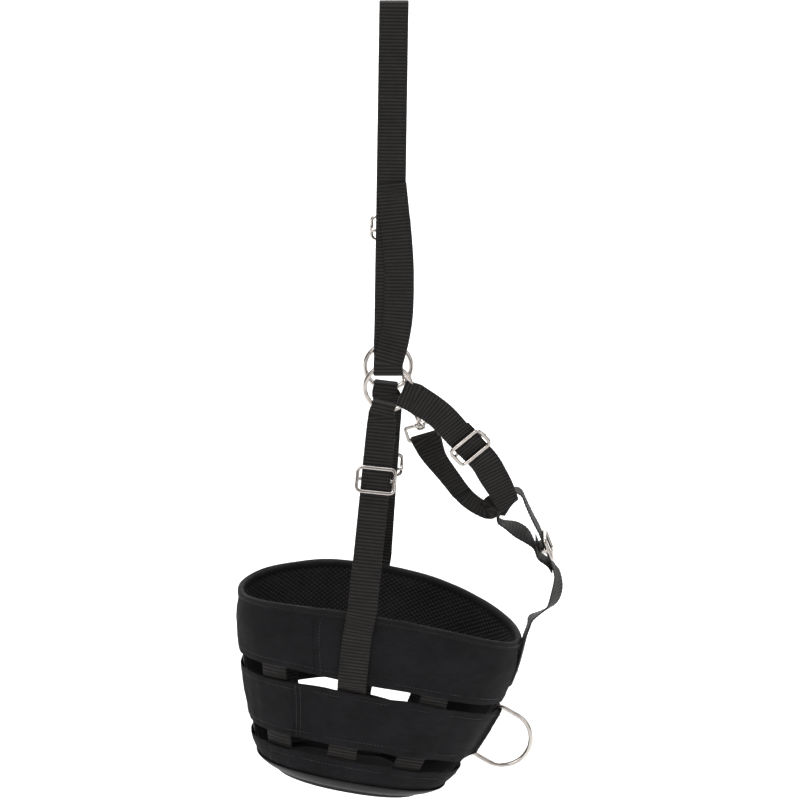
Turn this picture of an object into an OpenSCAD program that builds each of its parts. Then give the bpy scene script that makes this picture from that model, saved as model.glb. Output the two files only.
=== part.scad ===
// Basket muzzle for a pony, hanging by its crown strap.
// Millimetres, +Z up, +X towards the chin, -Y towards the near side.
// The origin is the underside of the crown strap's top fold, where it hangs.

/* [Basket] */
// Half the length of the rim, from its middle to the nose or chin end
rim_half_length = 121.5; // [115:0.5:124]
// Half the width of the rim, from side to side
rim_half_width = 73; // [68:1:76]
// Depth of the basket from the rim's ends to the floor
basket_depth = 148; // [144:1:150]
// How far the sides of the rim rise above its ends
rim_saddle = 18; // [8:1:20]
// Angle at which the chin end hangs below the nose end
basket_tilt = 10.5; // [6:0.5:14]
// Radius of the grazing hole in the rubber base
grazing_hole_r = 20; // [12:1:22]

/* [Webbing] */
// Width of the nylon webbing
web_w = 25; // [24:0.5:26]
// Thickness of one layer of webbing
web_t = 1.5; // [1.2:0.1:1.6]
// Clear gap between layers that lie on each other
layer_gap = 0.3; // [0.2:0.05:0.4]

/* [Rings and dee] */
// Mean radius of the two cheek rings
ring_r = 19.7; // [19.5:0.1:20.5]
// Radius of the wire of the rings and the chin dee
wire_r = 2; // [1.8:0.1:2]
// Half the length of the chin dee's bar, to the middle of its arms
dee_half = 24.3; // [24.3:0.1:26]
// Reach of the chin dee from its bar
dee_reach = 41.5; // [38:0.5:46]

/* [Slides] */
// Length of a slide along the strap
slide_len = 24; // [23:0.5:28]
// Length of the throat strap's slide, a shorter pattern
throat_slide_len = 21; // [20:0.5:26]
// Radius of a slide's front bars
bar_r = 1.7; // [1.6:0.05:1.8]
// Travel of a long strap's slide each way from where it is drawn
slide_travel = 10; // [6:1:10]

/* [Hidden] */
$fn = 48;
ROUND_N = 64;       // stations round the basket
CHIN_CROWDING = 36; // crowds the stations together at the chin, degrees
OVAL_POWER = 0.909; // a little squarer than an ellipse
// Levels down the wall at the nose and chin ends
RIM_FOOT = 55.5;
MIDDLE_TOP = 65;
MIDDLE_FOOT = 110;
MIDDLE_MID = (MIDDLE_TOP + MIDDLE_FOOT) / 2;
LOWER_TOP = 123;
LOWER_FOOT = 146;
// Layers of the wall, measured outwards from the uprights' inner face
LINING_IN = -2.6;
LINING_OUT = -0.6;
BAND_T = 1.6;
BAND_IN = web_t + 0.8;
BAND_OUT = BAND_IN + BAND_T;
RIM_EDGE_OUT = 1.6; // the rim band closes on the lining at its top edge
SLEEVE_BULGE = 5.6;   // room for the dee's bar under the middle band
SLEEVE_SHORTER = 0.1; // share of the middle band's height that the sleeve lacks
// Places of the uprights round the wall, degrees from the chin, minus is the near side
NEAR_CHEEK_AT = -97.5;
FAR_CHEEK_AT = 92.5;
CHIN_AT = 0;
NEAR_CHIN_AT = -64;
NEAR_NOSE_AT = -137.5;
NOSE_AT = 180;
FAR_NOSE_AT = 131.7;
FAR_CHIN_AT = 61;
rim_centre = [-12, 0, -547];
near_ring_at = [-5, -30, -335];
far_ring_at = [-5, 30, -335];
leg = wire_r + layer_gap + web_t / 2; // middle of a strap's layer beside a wire
step = web_t + layer_gap;             // from one layer's middle to the next
X = [1, 0, 0];
Y = [0, 1, 0];
Z = [0, 0, 1];

// ---------- vectors and curves ----------
function unit(v) = v / norm(v);
function flat_dir(angle) = [cos(angle), 0, sin(angle)];
function sq(v) = v * v;
function smooth(k) = k <= 0 ? 0 : k >= 1 ? 1 : k * k * (3 - 2 * k);
// A station on a strap is [x, y, z, width direction x, y, z, width]
function at(p, across, width = web_w) = concat(p, across, [width]);
function place(s) = [s[0], s[1], s[2]];
function across(s) = [s[3], s[4], s[5]];
// A smooth curve through stations, with n steps between one and the next
function between(s, i, k) =
    let (a = s[max(i - 1, 0)], b = s[i], c = s[i + 1], d = s[min(i + 2, len(s) - 1)])
    0.5 * (2 * b + (c - a) * k + (2 * a - 5 * b + 4 * c - d) * k * k + (3 * b - a - 3 * c + d) * k * k * k);
function curve(s, n) = concat(
    [for (i = [0 : len(s) - 2]) for (j = [0 : n - 1]) between(s, i, j / n)],
    [s[len(s) - 1]]);
// Stations of a half turn round a wire at c: it starts at c + start and passes c + far
function half_turn(c, start, far, wide, width, n = 6) =
    [for (i = [0 : n]) at(c + start * cos(180 * i / n) + far * sin(180 * i / n), wide, width)];

// ---------- the basket's wall ----------
function saddle(d) = rim_saddle * pow(max(0, 1 - d / basket_depth), 0.6);
// The far side hangs bunched up a little, most of all at the lower gap
function bunch(d) = d < LOWER_TOP
    ? 20 * max(d, 0) / LOWER_TOP
    : 20 * max(0, basket_depth - d) / (basket_depth - LOWER_TOP);
function wall_z(t, d) = -d + saddle(d) * pow(sin(t), 2) + bunch(d) * pow(max(0, sin(t)), 2);
function taper(h) = pow(max(h, 0) / 112, 1.5);
// The wall turns in towards the floor with this radius
CORNER_R = 20;
function corner(h) =
    let (k = min(max(h - basket_depth + CORNER_R, 0), CORNER_R - 0.1))
    CORNER_R - sqrt(CORNER_R * CORNER_R - k * k);
function half_length(h) = rim_half_length - 30 * taper(h) - corner(h);
function half_width(h) = rim_half_width - 12 * taper(h) - corner(h);
// The wall leans towards the chin between the rim and the floor
function lean(h) = 3 * sin(180 * max(h, 0) / basket_depth);
function oval(c) = sign(c) * pow(abs(c), OVAL_POWER);
// A point at angle t, level d, this far out of the wall, drawn in towards the hole by share k
function wall(t, d, out, k = 0) =
    let (z = wall_z(t, d), h = min(-z, basket_depth))
    [
        (1 - k) * (half_length(h) + out) * oval(cos(t)) + k * grazing_hole_r * cos(t) + lean(h),
        (1 - k) * (half_width(h) + out) * oval(sin(t)) + k * grazing_hole_r * sin(t),
        z
    ];
function tilted(v) = [
    cos(basket_tilt) * v[0] + sin(basket_tilt) * v[2],
    v[1],
    cos(basket_tilt) * v[2] - sin(basket_tilt) * v[0]
];
function in_place(v) = rim_centre + tilted(v);
function wall_station(t, d, out, width = web_w) =
    at(in_place(wall(t, d, out)), unit(tilted(wall(t + 2, d, out) - wall(t - 2, d, out))), width);
// The same, turned so that its width runs the way that the straps above the rim have it
function strap_station(t, d, out) =
    let (s = wall_station(t, d, out))
    t < 0 ? s : at(place(s), -across(s));

// ---------- solids swept along stations ----------
// Joins rings of m points into a closed solid, open-ended or joined end to start
module loft(rings, closed) {
    n = len(rings);
    m = len(rings[0]);
    points = [for (r = rings) each r];
    sides = [
        for (i = [0 : closed ? n - 1 : n - 2], j = [0 : m - 1])
            let (a = i * m + j, b = i * m + (j + 1) % m, c = ((i + 1) % n) * m)
            each [[a, c + j, b], [b, c + j, c + (j + 1) % m]]
    ];
    ends = closed ? [] : [
        for (j = [1 : m - 2]) each [
            [0, j, j + 1],
            [(n - 1) * m, (n - 1) * m + j + 1, (n - 1) * m + j]
        ]
    ];
    polyhedron(points, concat(sides, ends));
}

module ribbon(s, thick = web_t) {
    last = len(s) - 1;
    rings = [
        for (i = [0 : last])
            let (
                along = unit(place(s[min(i + 1, last)]) - place(s[max(i - 1, 0)])),
                w = unit(across(s[i]) - (across(s[i]) * along) * along),
                n = cross(along, w),
                a = w * s[i][6] / 2,
                b = n * thick / 2,
                p = place(s[i])
            )
            [p + a + b, p - a + b, p - a - b, p + a - b]
    ];
    loft(rings, false);
}

// A band round the wall whose section is a list of [level, distance out, share towards the hole].
// At the chin it bulges out, and shortens by a share of its height towards the middle band's middle.
module band(section, bulge = 0, shorten = 0) {
    rings = [
        for (i = [0 : ROUND_N - 1])
            let (
                u = 360 * i / ROUND_N,
                t = u - CHIN_CROWDING * sin(u),
                near_chin = smooth((9 - min(t, 360 - t)) / 5)
            )
            [for (p = section)
                let (d = p[0] - shorten * near_chin * (p[0] - MIDDLE_MID))
                in_place(wall(t, d, p[1] + bulge * near_chin, p[2]))]
    ];
    loft(rings, true);
}

function band_section(top, foot, inner, outer, steps) = concat(
    [for (i = [0 : steps]) [top + (foot - top) * i / steps, outer, 0]],
    [for (i = [steps : -1 : 0]) [top + (foot - top) * i / steps, inner, 0]]);

// ---------- the cheek straps ----------
function strap_wide(direction) = [-direction[2], 0, direction[0]];
near_pull = flat_dir(-104);
far_pull = flat_dir(-97);
near_top = near_ring_at + flat_dir(-100.5) * 31;
far_top = far_ring_at + flat_dir(-91) * 31;
FOLD_W = 20; // the webbing bunches where two straps share a ring
STRAP_OVER_BAND = BAND_OUT + 0.4 + web_t / 2;
// Distance of a fold's middle from the ring's centre, so that it clears the wire all across
function fold_at(width) = sqrt(sq(ring_r - wire_r) - sq(width / 2)) - layer_gap + leg - web_t / 2;
// The straight part of a cheek strap runs from its foot above the rim to its top below the ring
function cheek_top(side) = (side < 0 ? near_top : far_top) + Y * side * (leg + 2);
function cheek_at(side) = side < 0 ? NEAR_CHEEK_AT : FAR_CHEEK_AT;
function cheek_foot(side) = place(wall_station(cheek_at(side), -7, 4.8));
function cheek_up(side) = unit(cheek_top(side) - cheek_foot(side));

module cheek_strap(ring, pull, side, return_end) {
    t = cheek_at(side);
    top = cheek_top(side);
    foot = cheek_foot(side);
    up = cheek_up(side);
    inward = -unit(cross(up, cross([0, side, 0], up))) * step;
    fold = ring + pull * fold_at(FOLD_W);
    wide = strap_wide(pull);
    behind = [
        at(foot + up * return_end + inward, X),
        at(foot + up * (return_end + 14) + inward, X),
        at(top - up * 4 + inward, X),
        at(fold + pull * 9 - Y * side * leg, wide, FOLD_W + 2)
    ];
    front = [
        at(fold + pull * 8 + Y * side * leg, wide, FOLD_W + 2),
        at(top, X),
        at(top - up * 20, X),
        at(foot + up * 60, X),
        at(foot + up * 12, X),
        at(foot, X),
        strap_station(t, 3, 4.3),
        strap_station(t, 14, 4.4),
        strap_station(t, 26, STRAP_OVER_BAND),
        strap_station(t, 42, STRAP_OVER_BAND),
        strap_station(t, RIM_FOOT, STRAP_OVER_BAND),
        strap_station(t, RIM_FOOT + 5, 2.8),
        strap_station(t, RIM_FOOT + 9.5, web_t / 2),
        for (d = [MIDDLE_TOP + 6, 82, 90, 100, MIDDLE_FOOT, 117, LOWER_TOP, 128, 132, 136, 140, 143.5])
            strap_station(t, d, web_t / 2)
    ];
    ribbon(concat(
        curve(behind, 3),
        half_turn(fold, -Y * side * leg, -pull * leg, wide, FOLD_W),
        curve(front, 3)));
}

NEAR_SLIDE_AT = 111; // up the strap from the foot of its straight part
FAR_SLIDE_AT = 92;
RETURN_CLEAR = slide_travel + 4; // from a slide's middle to the end of the layer that comes back to it

module near_cheek_strap() color([0.13, 0.12, 0.12])
    cheek_strap(near_ring_at, near_pull, -1, NEAR_SLIDE_AT + RETURN_CLEAR);
module far_cheek_strap() color([0.13, 0.12, 0.12])
    cheek_strap(far_ring_at, far_pull, 1, FAR_SLIDE_AT + RETURN_CLEAR);

// ---------- the crown strap ----------
CROWN_LEAN = -5 / 335;
CROWN_SPREAD = 26 / 335;
TOP_R = 3.25 + web_t / 2; // middle of the top fold, which leaves a 3.25 mm radius inside
function crown_line(z, side, layer) =
    at([-z * CROWN_LEAN, side * (TOP_R - z * CROWN_SPREAD) + side * layer * step / 2, z], X);
TAIL_SHIFT = [[-156, 0.5], [-178, 3], [-204, 6], [-232, 8], [-268, 8], [-292, 5]];
crown_fold = Z * fold_at(web_w);

module crown_strap() color([0.13, 0.12, 0.12]) {
    near = near_ring_at + crown_fold;
    far = far_ring_at + crown_fold;
    tail = [for (p = TAIL_SHIFT) crown_line(p[0], -1, 1) + at(X * p[1], [0, 0, 0], 0)];
    near_run = [for (z = [-300, -240, -170, -100, -40, -12]) crown_line(z, -1, -1)];
    far_run = [for (z = [-12, -60, -120, -180, -240, -300]) crown_line(z, 1, 1)];
    back = [for (z = [-302, -270, -209 - RETURN_CLEAR - 4]) crown_line(z, 1, -1)];
    ribbon(concat(
        curve(concat(tail, [at(near + Z * 8 - Y * leg, X)]), 3),
        half_turn(near, -Y * leg, -Z * leg, X, web_w),
        curve(concat([at(near + Z * 8 + Y * leg, X)], near_run), 2),
        half_turn([0, 0, -TOP_R + web_t / 2], -Y * TOP_R, Z * TOP_R, X, web_w, 8),
        curve(concat(far_run, [at(far + Z * 8 + Y * leg, X)]), 2),
        half_turn(far, Y * leg, -Z * leg, X, web_w),
        curve(concat([at(far + Z * 8 - Y * leg, X)], back), 2)));
}

// ---------- the throat strap ----------
// A width direction at this angle in the XZ plane, tipped back by this much
function tipped(angle, back) = flat_dir(angle) * cos(back) - Y * sin(back);
throat_pull = flat_dir(-22);
THROAT_FOLD_W = 23;
throat_run_a = [38, -31, -358.5];
throat_run_b = [76, -21, -402.5];
throat_up = unit(throat_run_a - throat_run_b);
throat_mid = (throat_run_a + throat_run_b) / 2;
TURN_W = 18; // bunched where the chin strap goes round it
turn_mid = [98, 0, -451];
turn_wide = flat_dir(60);
turn_out = flat_dir(-30);
snap_dir = flat_dir(107);
snap_wide = flat_dir(17);
hook_mid = far_ring_at + flat_dir(-40) * ring_r - snap_dir * 1.5;
EYE_BAR = -52; // the eye's bar, measured along the snap
eye_bar = hook_mid + snap_dir * EYE_BAR;

module throat_strap() color([0.13, 0.12, 0.12]) {
    fold = near_ring_at + throat_pull * fold_at(THROAT_FOLD_W);
    wide = flat_dir(68);
    run_wide = flat_dir(42);
    out = unit(cross(throat_up, -run_wide));
    back = -out * step;
    behind = [
        at(throat_mid + throat_up * (RETURN_CLEAR - 4) + back, run_wide),
        at(throat_run_a + back, run_wide),
        at(fold + throat_pull * 9 + Y * leg, wide, THROAT_FOLD_W + 2)
    ];
    front = [
        at(fold + throat_pull * 9 - Y * leg, wide),
        at(throat_run_a, run_wide),
        at(throat_mid, run_wide),
        at(throat_run_b, flat_dir(38)),
        at([84.5, -18.5, -417.5], flat_dir(35)),
        at([91.6, -15, -431.5], flat_dir(37), 23),
        at(turn_point(3, -1.2) - Y * 9, flat_dir(54), TURN_W + 1),
        at(turn_mid, turn_wide, TURN_W),
        at(turn_point(-3, -1.2) + Y * 9, flat_dir(62), TURN_W + 1),
        at(turn_point(-9, -8) + Y * 14, tipped(60, 18), 20),
        at([79, 18, -460.5], tipped(58, 36), 23),
        at([62.1, 22.5, -451], tipped(50, 40)),
        at([45.2, 26.5, -430], tipped(40, 38)),
        at([34.5, 28, -415.5], tipped(33, 28)),
        at(eye_bar - snap_dir * 6 + X * 2 + Y * 3.4, flat_dir(24), 24)
    ];
    tail = [
        at(eye_bar - snap_dir * 6 + X * 2 - Y * 3.4, flat_dir(24), 24),
        at([35, 25.2, -416], tipped(33, 28)),
        at([45.6, 23.3, -430.5], tipped(40, 38)),
        at([58, 20.2, -446.5], tipped(48, 40))
    ];
    ribbon(concat(
        curve(behind, 3),
        half_turn(fold, Y * leg, -throat_pull * leg, wide, THROAT_FOLD_W),
        curve(front, 3),
        half_turn(eye_bar, Y * 2.6, snap_dir * 2.6, snap_wide, 23),
        curve(tail, 3)));
}

// ---------- the chin strap ----------
CHIN_DIR = 70;
chin_mid = [129.5, 0, -486.5];
chin_up = flat_dir(180 - CHIN_DIR);
chin_wide = -Y;
chin_out = cross(chin_up, chin_wide);
// A point by the turn of the throat strap: e across that strap, f towards the chin slide
function turn_point(e, f) = turn_mid + turn_wide * e + turn_out * f;

module chin_strap() color([0.13, 0.12, 0.12]) {
    low_wide = unit([-0.1, -0.95, -0.2]);
    loop = [
        at(chin_mid + chin_up * 15, chin_wide),
        at(turn_point(1.5, 23), chin_wide, 24),
        at(turn_point(9.5, 12), chin_wide, 21),
        at(turn_point(15.6, 4), chin_wide, TURN_W),
        at(turn_point(15.6, -1.6), chin_wide, TURN_W),
        at(turn_point(12, -3.6), chin_wide, TURN_W - 2),
        at(turn_point(0, -3.6), chin_wide, TURN_W - 2),
        at(turn_point(-12, -3.6), chin_wide, TURN_W - 2),
        at(turn_point(-15.6, -1.6), chin_wide, TURN_W),
        at(turn_point(-16, 4), chin_wide, 21),
        at(turn_point(-15, 15), low_wide),
        at(turn_point(-15.5, 26), low_wide),
        at(chin_mid + chin_up * 4 - chin_out * 9, chin_wide),
        at(chin_mid - chin_up * 6 - chin_out * 8.6, chin_wide),
        at(chin_mid - chin_up * 15 - chin_out * 3.2, chin_wide),
        at(chin_mid - chin_up * 22 - chin_out * 2, chin_wide)
    ];
    run = [
        strap_station(0, 42, STRAP_OVER_BAND + 1.4),
        strap_station(0, 24, STRAP_OVER_BAND + 1.2),
        strap_station(0, 5, 5.6),
        at([114.6, 0, -561], -Y),
        at([117, 0, -553], unit([0.1, -1, 0.1])),
        at([125.5, 0, -547], unit([-0.15, -1, 0.15])),
        at([135, 0, -540], unit([-0.4, -1, 0.1])),
        at([139.2, 0, -528], unit([-0.45, -1, 0])),
        at(chin_mid - chin_up * 29, unit([-0.2, -1, 0])),
        at(chin_mid - chin_up * 20, chin_wide),
        at(chin_mid, chin_wide)
    ];
    ribbon(concat(curve(run, 3), curve(loop, 3)));
}

// ---------- slides ----------
SLIDE_HALF = 16.4;   // middle of a slide's side rail, across the strap
LOOP_T = 1.2;        // thickness of the sewn loop round the middle bar
MID_R = 1.4;
front_bar = web_t / 2 + 0.25 + bar_r;
back_bar = -(web_t / 2 + 0.2 + LOOP_T + 0.1 + MID_R);

// Moves children to p, with x across the strap, y out of it and z along it
module on_strap(p, wide, up) {
    z = unit(up);
    x = unit(wide - (wide * z) * z);
    y = cross(z, x);
    multmatrix([
        [x[0], y[0], z[0], p[0]],
        [x[1], y[1], z[1], p[1]],
        [x[2], y[2], z[2], p[2]],
        [0, 0, 0, 1]
    ]) children();
}

module bar_across(y, z, r, half) {
    translate([-half, y, z]) rotate([0, 90, 0]) cylinder(r = r, h = 2 * half);
}

module slide_frame(length = slide_len) color([0.78, 0.76, 0.73]) {
    rail_z = length / 2 - bar_r;
    for (s = [-1, 1]) {
        bar_across(front_bar, s * rail_z, bar_r, SLIDE_HALF);
        translate([s * SLIDE_HALF, front_bar, -rail_z]) cylinder(r = bar_r, h = 2 * rail_z);
        for (e = [-1, 1]) translate([s * SLIDE_HALF, front_bar, e * rail_z]) sphere(r = bar_r);
        translate([s * SLIDE_HALF - MID_R, back_bar, -MID_R])
            cube([2 * MID_R, front_bar - back_bar, 2 * MID_R]);
        translate([s * SLIDE_HALF, back_bar, 0]) rotate([0, 90, 0])
            cylinder(r = MID_R, h = 2 * MID_R, center = true);
    }
    bar_across(back_bar, 0, MID_R, SLIDE_HALF);
}

// The sewn end of the webbing: a loop round the middle bar and a tongue behind the strap
module slide_loop(tongue) color([0.13, 0.12, 0.12])
    rotate([90, 0, 90])
        translate([0, 0, -web_w / 2])
            linear_extrude(web_w) difference() {
                union() {
                    translate([back_bar, 0]) circle(r = MID_R + 0.1 + LOOP_T);
                    translate([back_bar - MID_R - 0.1 - LOOP_T, 0]) square([LOOP_T, tongue]);
                }
                translate([back_bar, 0]) circle(r = MID_R + 0.08);
            }

near_slide_mid = cheek_foot(-1) + cheek_up(-1) * NEAR_SLIDE_AT;
far_slide_mid = cheek_foot(1) + cheek_up(1) * FAR_SLIDE_AT;
crown_slide_mid = place(crown_line(-209, 1, 1));
crown_slide_dir = unit(place(crown_line(-240, 1, 1)) - place(crown_line(-180, 1, 1)));
throat_slide_mid = throat_mid - throat_up * 12;

module on_near_cheek() on_strap(near_slide_mid, -X, cheek_up(-1)) children();
module on_far_cheek() on_strap(far_slide_mid, X, cheek_up(1)) children();
module on_crown() on_strap(crown_slide_mid, -X, crown_slide_dir) children();
module on_throat() on_strap(throat_slide_mid, -flat_dir(42), throat_up) children();
module on_chin() on_strap(chin_mid, chin_wide, chin_up) children();

module near_cheek_slide() on_near_cheek() slide_frame();
module near_cheek_slide_loop() on_near_cheek() slide_loop(36);
module far_cheek_slide() on_far_cheek() slide_frame();
module far_cheek_slide_loop() on_far_cheek() slide_loop(36);
module crown_slide() on_crown() slide_frame();
module crown_slide_loop() on_crown() slide_loop(36);
module throat_slide() on_throat() slide_frame(throat_slide_len);
module throat_slide_loop() on_throat() slide_loop(16);
module chin_slide() on_chin() slide_frame();
module chin_slide_loop() on_chin() slide_loop(9);

// ---------- rings and dee ----------
module wire_ring(centre) color([0.78, 0.76, 0.73])
    translate(centre) rotate([90, 0, 0])
        rotate_extrude($fn = 96) translate([ring_r, 0]) circle(r = wire_r);
module near_ring() wire_ring(near_ring_at);
module far_ring() wire_ring(far_ring_at);

DEE_OUT = web_t + layer_gap + wire_r + 0.5; // middle of the dee's bar out of the wall
DEE_BEND = 5;
DEE_RISE = 1.1;                          // up its bar, clear of the sleeve's slanting edges
SLEEVE_TOP = MIDDLE_MID + (1 - SLEEVE_SHORTER) * (MIDDLE_TOP - MIDDLE_MID);
SLEEVE_FOOT = MIDDLE_MID + (1 - SLEEVE_SHORTER) * (MIDDLE_FOOT - MIDDLE_MID);
dee_top = in_place(wall(0, SLEEVE_TOP, DEE_OUT));
dee_foot = in_place(wall(0, SLEEVE_FOOT, DEE_OUT));
dee_bar = unit(dee_top - dee_foot);
dee_mid = (dee_top + dee_foot) / 2 + dee_bar * DEE_RISE;

// A bend of wire in the XZ plane, from one angle over a turn
module wire_bend(x, z, r, from, turn) {
    translate([x, 0, z]) rotate([90, 0, 0]) rotate([0, 0, from])
        rotate_extrude(angle = turn) translate([r, 0]) circle(r = wire_r);
}

module chin_dee() color([0.78, 0.76, 0.73]) {
    arm = dee_reach - dee_half;
    on_strap(dee_mid, cross(dee_bar, -Y), dee_bar) {
        translate([0, 0, DEE_BEND - dee_half]) cylinder(r = wire_r, h = 2 * (dee_half - DEE_BEND));
        wire_bend(DEE_BEND, dee_half - DEE_BEND, DEE_BEND, 90, 90);
        wire_bend(DEE_BEND, DEE_BEND - dee_half, DEE_BEND, 180, 90);
        for (s = [-1, 1])
            translate([DEE_BEND, 0, s * dee_half]) rotate([0, 90, 0])
                cylinder(r = wire_r, h = arm - DEE_BEND);
        wire_bend(arm, 0, dee_half, -90, 180);
    }
}

// ---------- snap hook ----------
// Its own frame: z up the snap, x across it, y towards the far side, z = 0 at the hook's middle
HOOK_R = 7;
HOOK_WIRE = 2;
BLOCK_TOP = -11;
BLOCK_FOOT = -29;
STEM_R = 2.2;
STEM_FIT = 0.05;
BOLT_R = 1.7;
BOLT_FIT = 0.06;
CHAMBER_R = 2.6;
BOLT_HEAD_R = 2.3;
CHAMBER_FOOT = -27;
CHAMBER_TOP = -14;
EYE_TOP = -38;

module on_snap() on_strap(hook_mid, snap_wide, snap_dir) children();

module snap_body() color([0.78, 0.76, 0.73]) on_snap() difference() {
    union() {
        rotate([0, -90, 0]) rotate([0, 0, -90])
            rotate_extrude(angle = 180) translate([HOOK_R, 0]) circle(r = HOOK_WIRE);
        translate([0, -HOOK_R, BLOCK_TOP - 1]) cylinder(r = HOOK_WIRE, h = 1 - BLOCK_TOP);
        translate([0, HOOK_R, -2.5]) cylinder(r = HOOK_WIRE, h = 2.5);
        translate([-3.6, -9.6, BLOCK_FOOT]) cube([7.2, 20.4, BLOCK_TOP - BLOCK_FOOT]);
        translate([0, 0, EYE_TOP - 4.2]) cylinder(r = STEM_R, h = BLOCK_FOOT - EYE_TOP + 5.2);
        translate([0, 0, EYE_TOP - 5.7]) cylinder(r = 3.6, h = 1.6);
    }
    translate([0, HOOK_R, CHAMBER_TOP - 1]) cylinder(r = BOLT_R + BOLT_FIT, h = 6);
    translate([0, HOOK_R, CHAMBER_FOOT]) cylinder(r = CHAMBER_R, h = CHAMBER_TOP - CHAMBER_FOOT);
    translate([-5, HOOK_R - 1.3, CHAMBER_FOOT]) cube([5, 2.6, CHAMBER_TOP - CHAMBER_FOOT]);
}

module snap_bolt() color([0.74, 0.72, 0.69]) on_snap() translate([0, HOOK_R, 0]) {
    translate([0, 0, CHAMBER_TOP - 2]) cylinder(r = BOLT_R, h = -2.7 - CHAMBER_TOP + 2);
    translate([0, 0, CHAMBER_TOP - 2]) intersection() {
        cylinder(r = BOLT_HEAD_R, h = 1.8);
        translate([0.04 - BOLT_HEAD_R, -5, 0]) cube([10, 10, 1.8]);
    }
}

module snap_thumb_stud() color([0.74, 0.72, 0.69]) on_snap()
    translate([0.02 - BOLT_HEAD_R, HOOK_R, CHAMBER_TOP - 1.1]) rotate([0, -90, 0]) {
        cylinder(r = 0.85, h = 3.6);
        translate([0, 0, 2.2]) cylinder(r = 2, h = 1.6);
    }

// A closed stack of coils stands for the spring behind the bolt
module snap_spring() color([0.6, 0.6, 0.6]) on_snap() translate([0, HOOK_R, 0])
    for (z = [CHAMBER_FOOT + 0.6 : 1.3 : CHAMBER_TOP - 3.2])
        translate([0, 0, z]) rotate_extrude() translate([1.7, 0]) circle(r = 0.4, $fn = 16);

module snap_eye() color([0.78, 0.76, 0.73]) on_snap() {
    half = 13.4;
    top_z = EYE_TOP - 2;
    difference() {
        union() {
            bar_across(0, EYE_BAR, 1.5, half);
            for (s = [-1, 1])
                translate([s * half - 1.5, -2.2, EYE_BAR - 1.5]) cube([3, 4.4, top_z - EYE_BAR + 2.5]);
            translate([-half, -2.2, top_z - 2]) cube([2 * half, 4.4, 3]);
            translate([0, 0, top_z - 2]) cylinder(r = 4.6, h = 4);
        }
        translate([0, 0, top_z - 3]) cylinder(r = STEM_R + STEM_FIT, h = 6);
    }
}

// ---------- the basket ----------
fabric = [0.12, 0.12, 0.13];

// The rim band's outer face: close to the lining at the edge, over the uprights lower down
function rim_out(d) = RIM_EDGE_OUT + (BAND_OUT - RIM_EDGE_OUT) * smooth((d - 8) / 20);

module rim_band() color(fabric) {
    levels = [0, 8, 13, 18, 23, 28, 42, RIM_FOOT];
    last = len(levels) - 1;
    band(concat(
        [for (d = levels) [d, rim_out(d), 0]],
        [for (i = [last : -1 : 0]) [levels[i], rim_out(levels[i]) - BAND_T, 0]]));
}
module rim_lining() color([0.1, 0.1, 0.1])
    band(band_section(0, RIM_FOOT, LINING_IN, LINING_OUT, 3));
module rim_binding() color([0.1, 0.1, 0.1])
    band([
        [-1.8, LINING_IN - 1.4, 0], [-1.8, RIM_EDGE_OUT + 1.4, 0], [7.5, RIM_EDGE_OUT + 1.4, 0],
        [7.5, RIM_EDGE_OUT + 0.4, 0], [-0.6, RIM_EDGE_OUT + 0.4, 0], [-0.6, LINING_IN - 0.5, 0],
        [7.5, LINING_IN - 0.5, 0], [7.5, LINING_IN - 1.4, 0]
    ]);
module middle_band() color(fabric)
    band(band_section(MIDDLE_TOP, MIDDLE_FOOT, BAND_IN, BAND_OUT, 4), SLEEVE_BULGE, SLEEVE_SHORTER);
module lower_band() color(fabric)
    band(band_section(LOWER_TOP, LOWER_FOOT, BAND_IN, BAND_OUT, 7));

// Rubber base: a lip outside the lower band's foot and a floor with the grazing hole
module base_pad() color([0.2, 0.2, 0.21]) {
    lip = BAND_OUT + 0.5;
    top = basket_depth + 0.6;
    foot = basket_depth + 4;
    band([
        [139, lip + 2, 0], [141.5, lip + 2, 0], [144, lip + 2, 0], [146.5, lip + 2, 0],
        [foot - 1.5, lip + 1.5, 0], [foot, lip - 1, 0],
        [foot, 0, 0.5], [foot, 0, 1],
        [top, 0, 1], [top, 0, 0.5], [top, lip - 1, 0],
        [146.5, lip, 0], [144, lip, 0], [141.5, lip, 0], [139, lip, 0]
    ]);
}

// Webbing that lies on the wall and bends with it, both down it and across
UPRIGHT_LEVELS = [30, 44, RIM_FOOT, MIDDLE_TOP, 82, 96, MIDDLE_FOOT, 117,
    LOWER_TOP, 128, 131.5, 135, 138.5, 142, 145];
function wall_span(t, d) = norm(wall(t + 3, d, 0) - wall(t - 3, d, 0)) / 6;
module upright(t) color([0.13, 0.12, 0.12]) {
    rings = [
        for (d = UPRIGHT_LEVELS)
            let (half = web_w / 2 / wall_span(t, d))
            concat(
                [for (k = [-1 : 0.5 : 1]) in_place(wall(t + k * half, d, 0))],
                [for (k = [1 : -0.5 : -1]) in_place(wall(t + k * half, d, web_t))])
    ];
    loft(rings, false);
}
module upright_chin() upright(CHIN_AT);
module upright_near_chin() upright(NEAR_CHIN_AT);
module upright_near_nose() upright(NEAR_NOSE_AT);
module upright_nose() upright(NOSE_AT);
module upright_far_nose() upright(FAR_NOSE_AT);
module upright_far_chin() upright(FAR_CHIN_AT);

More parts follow.
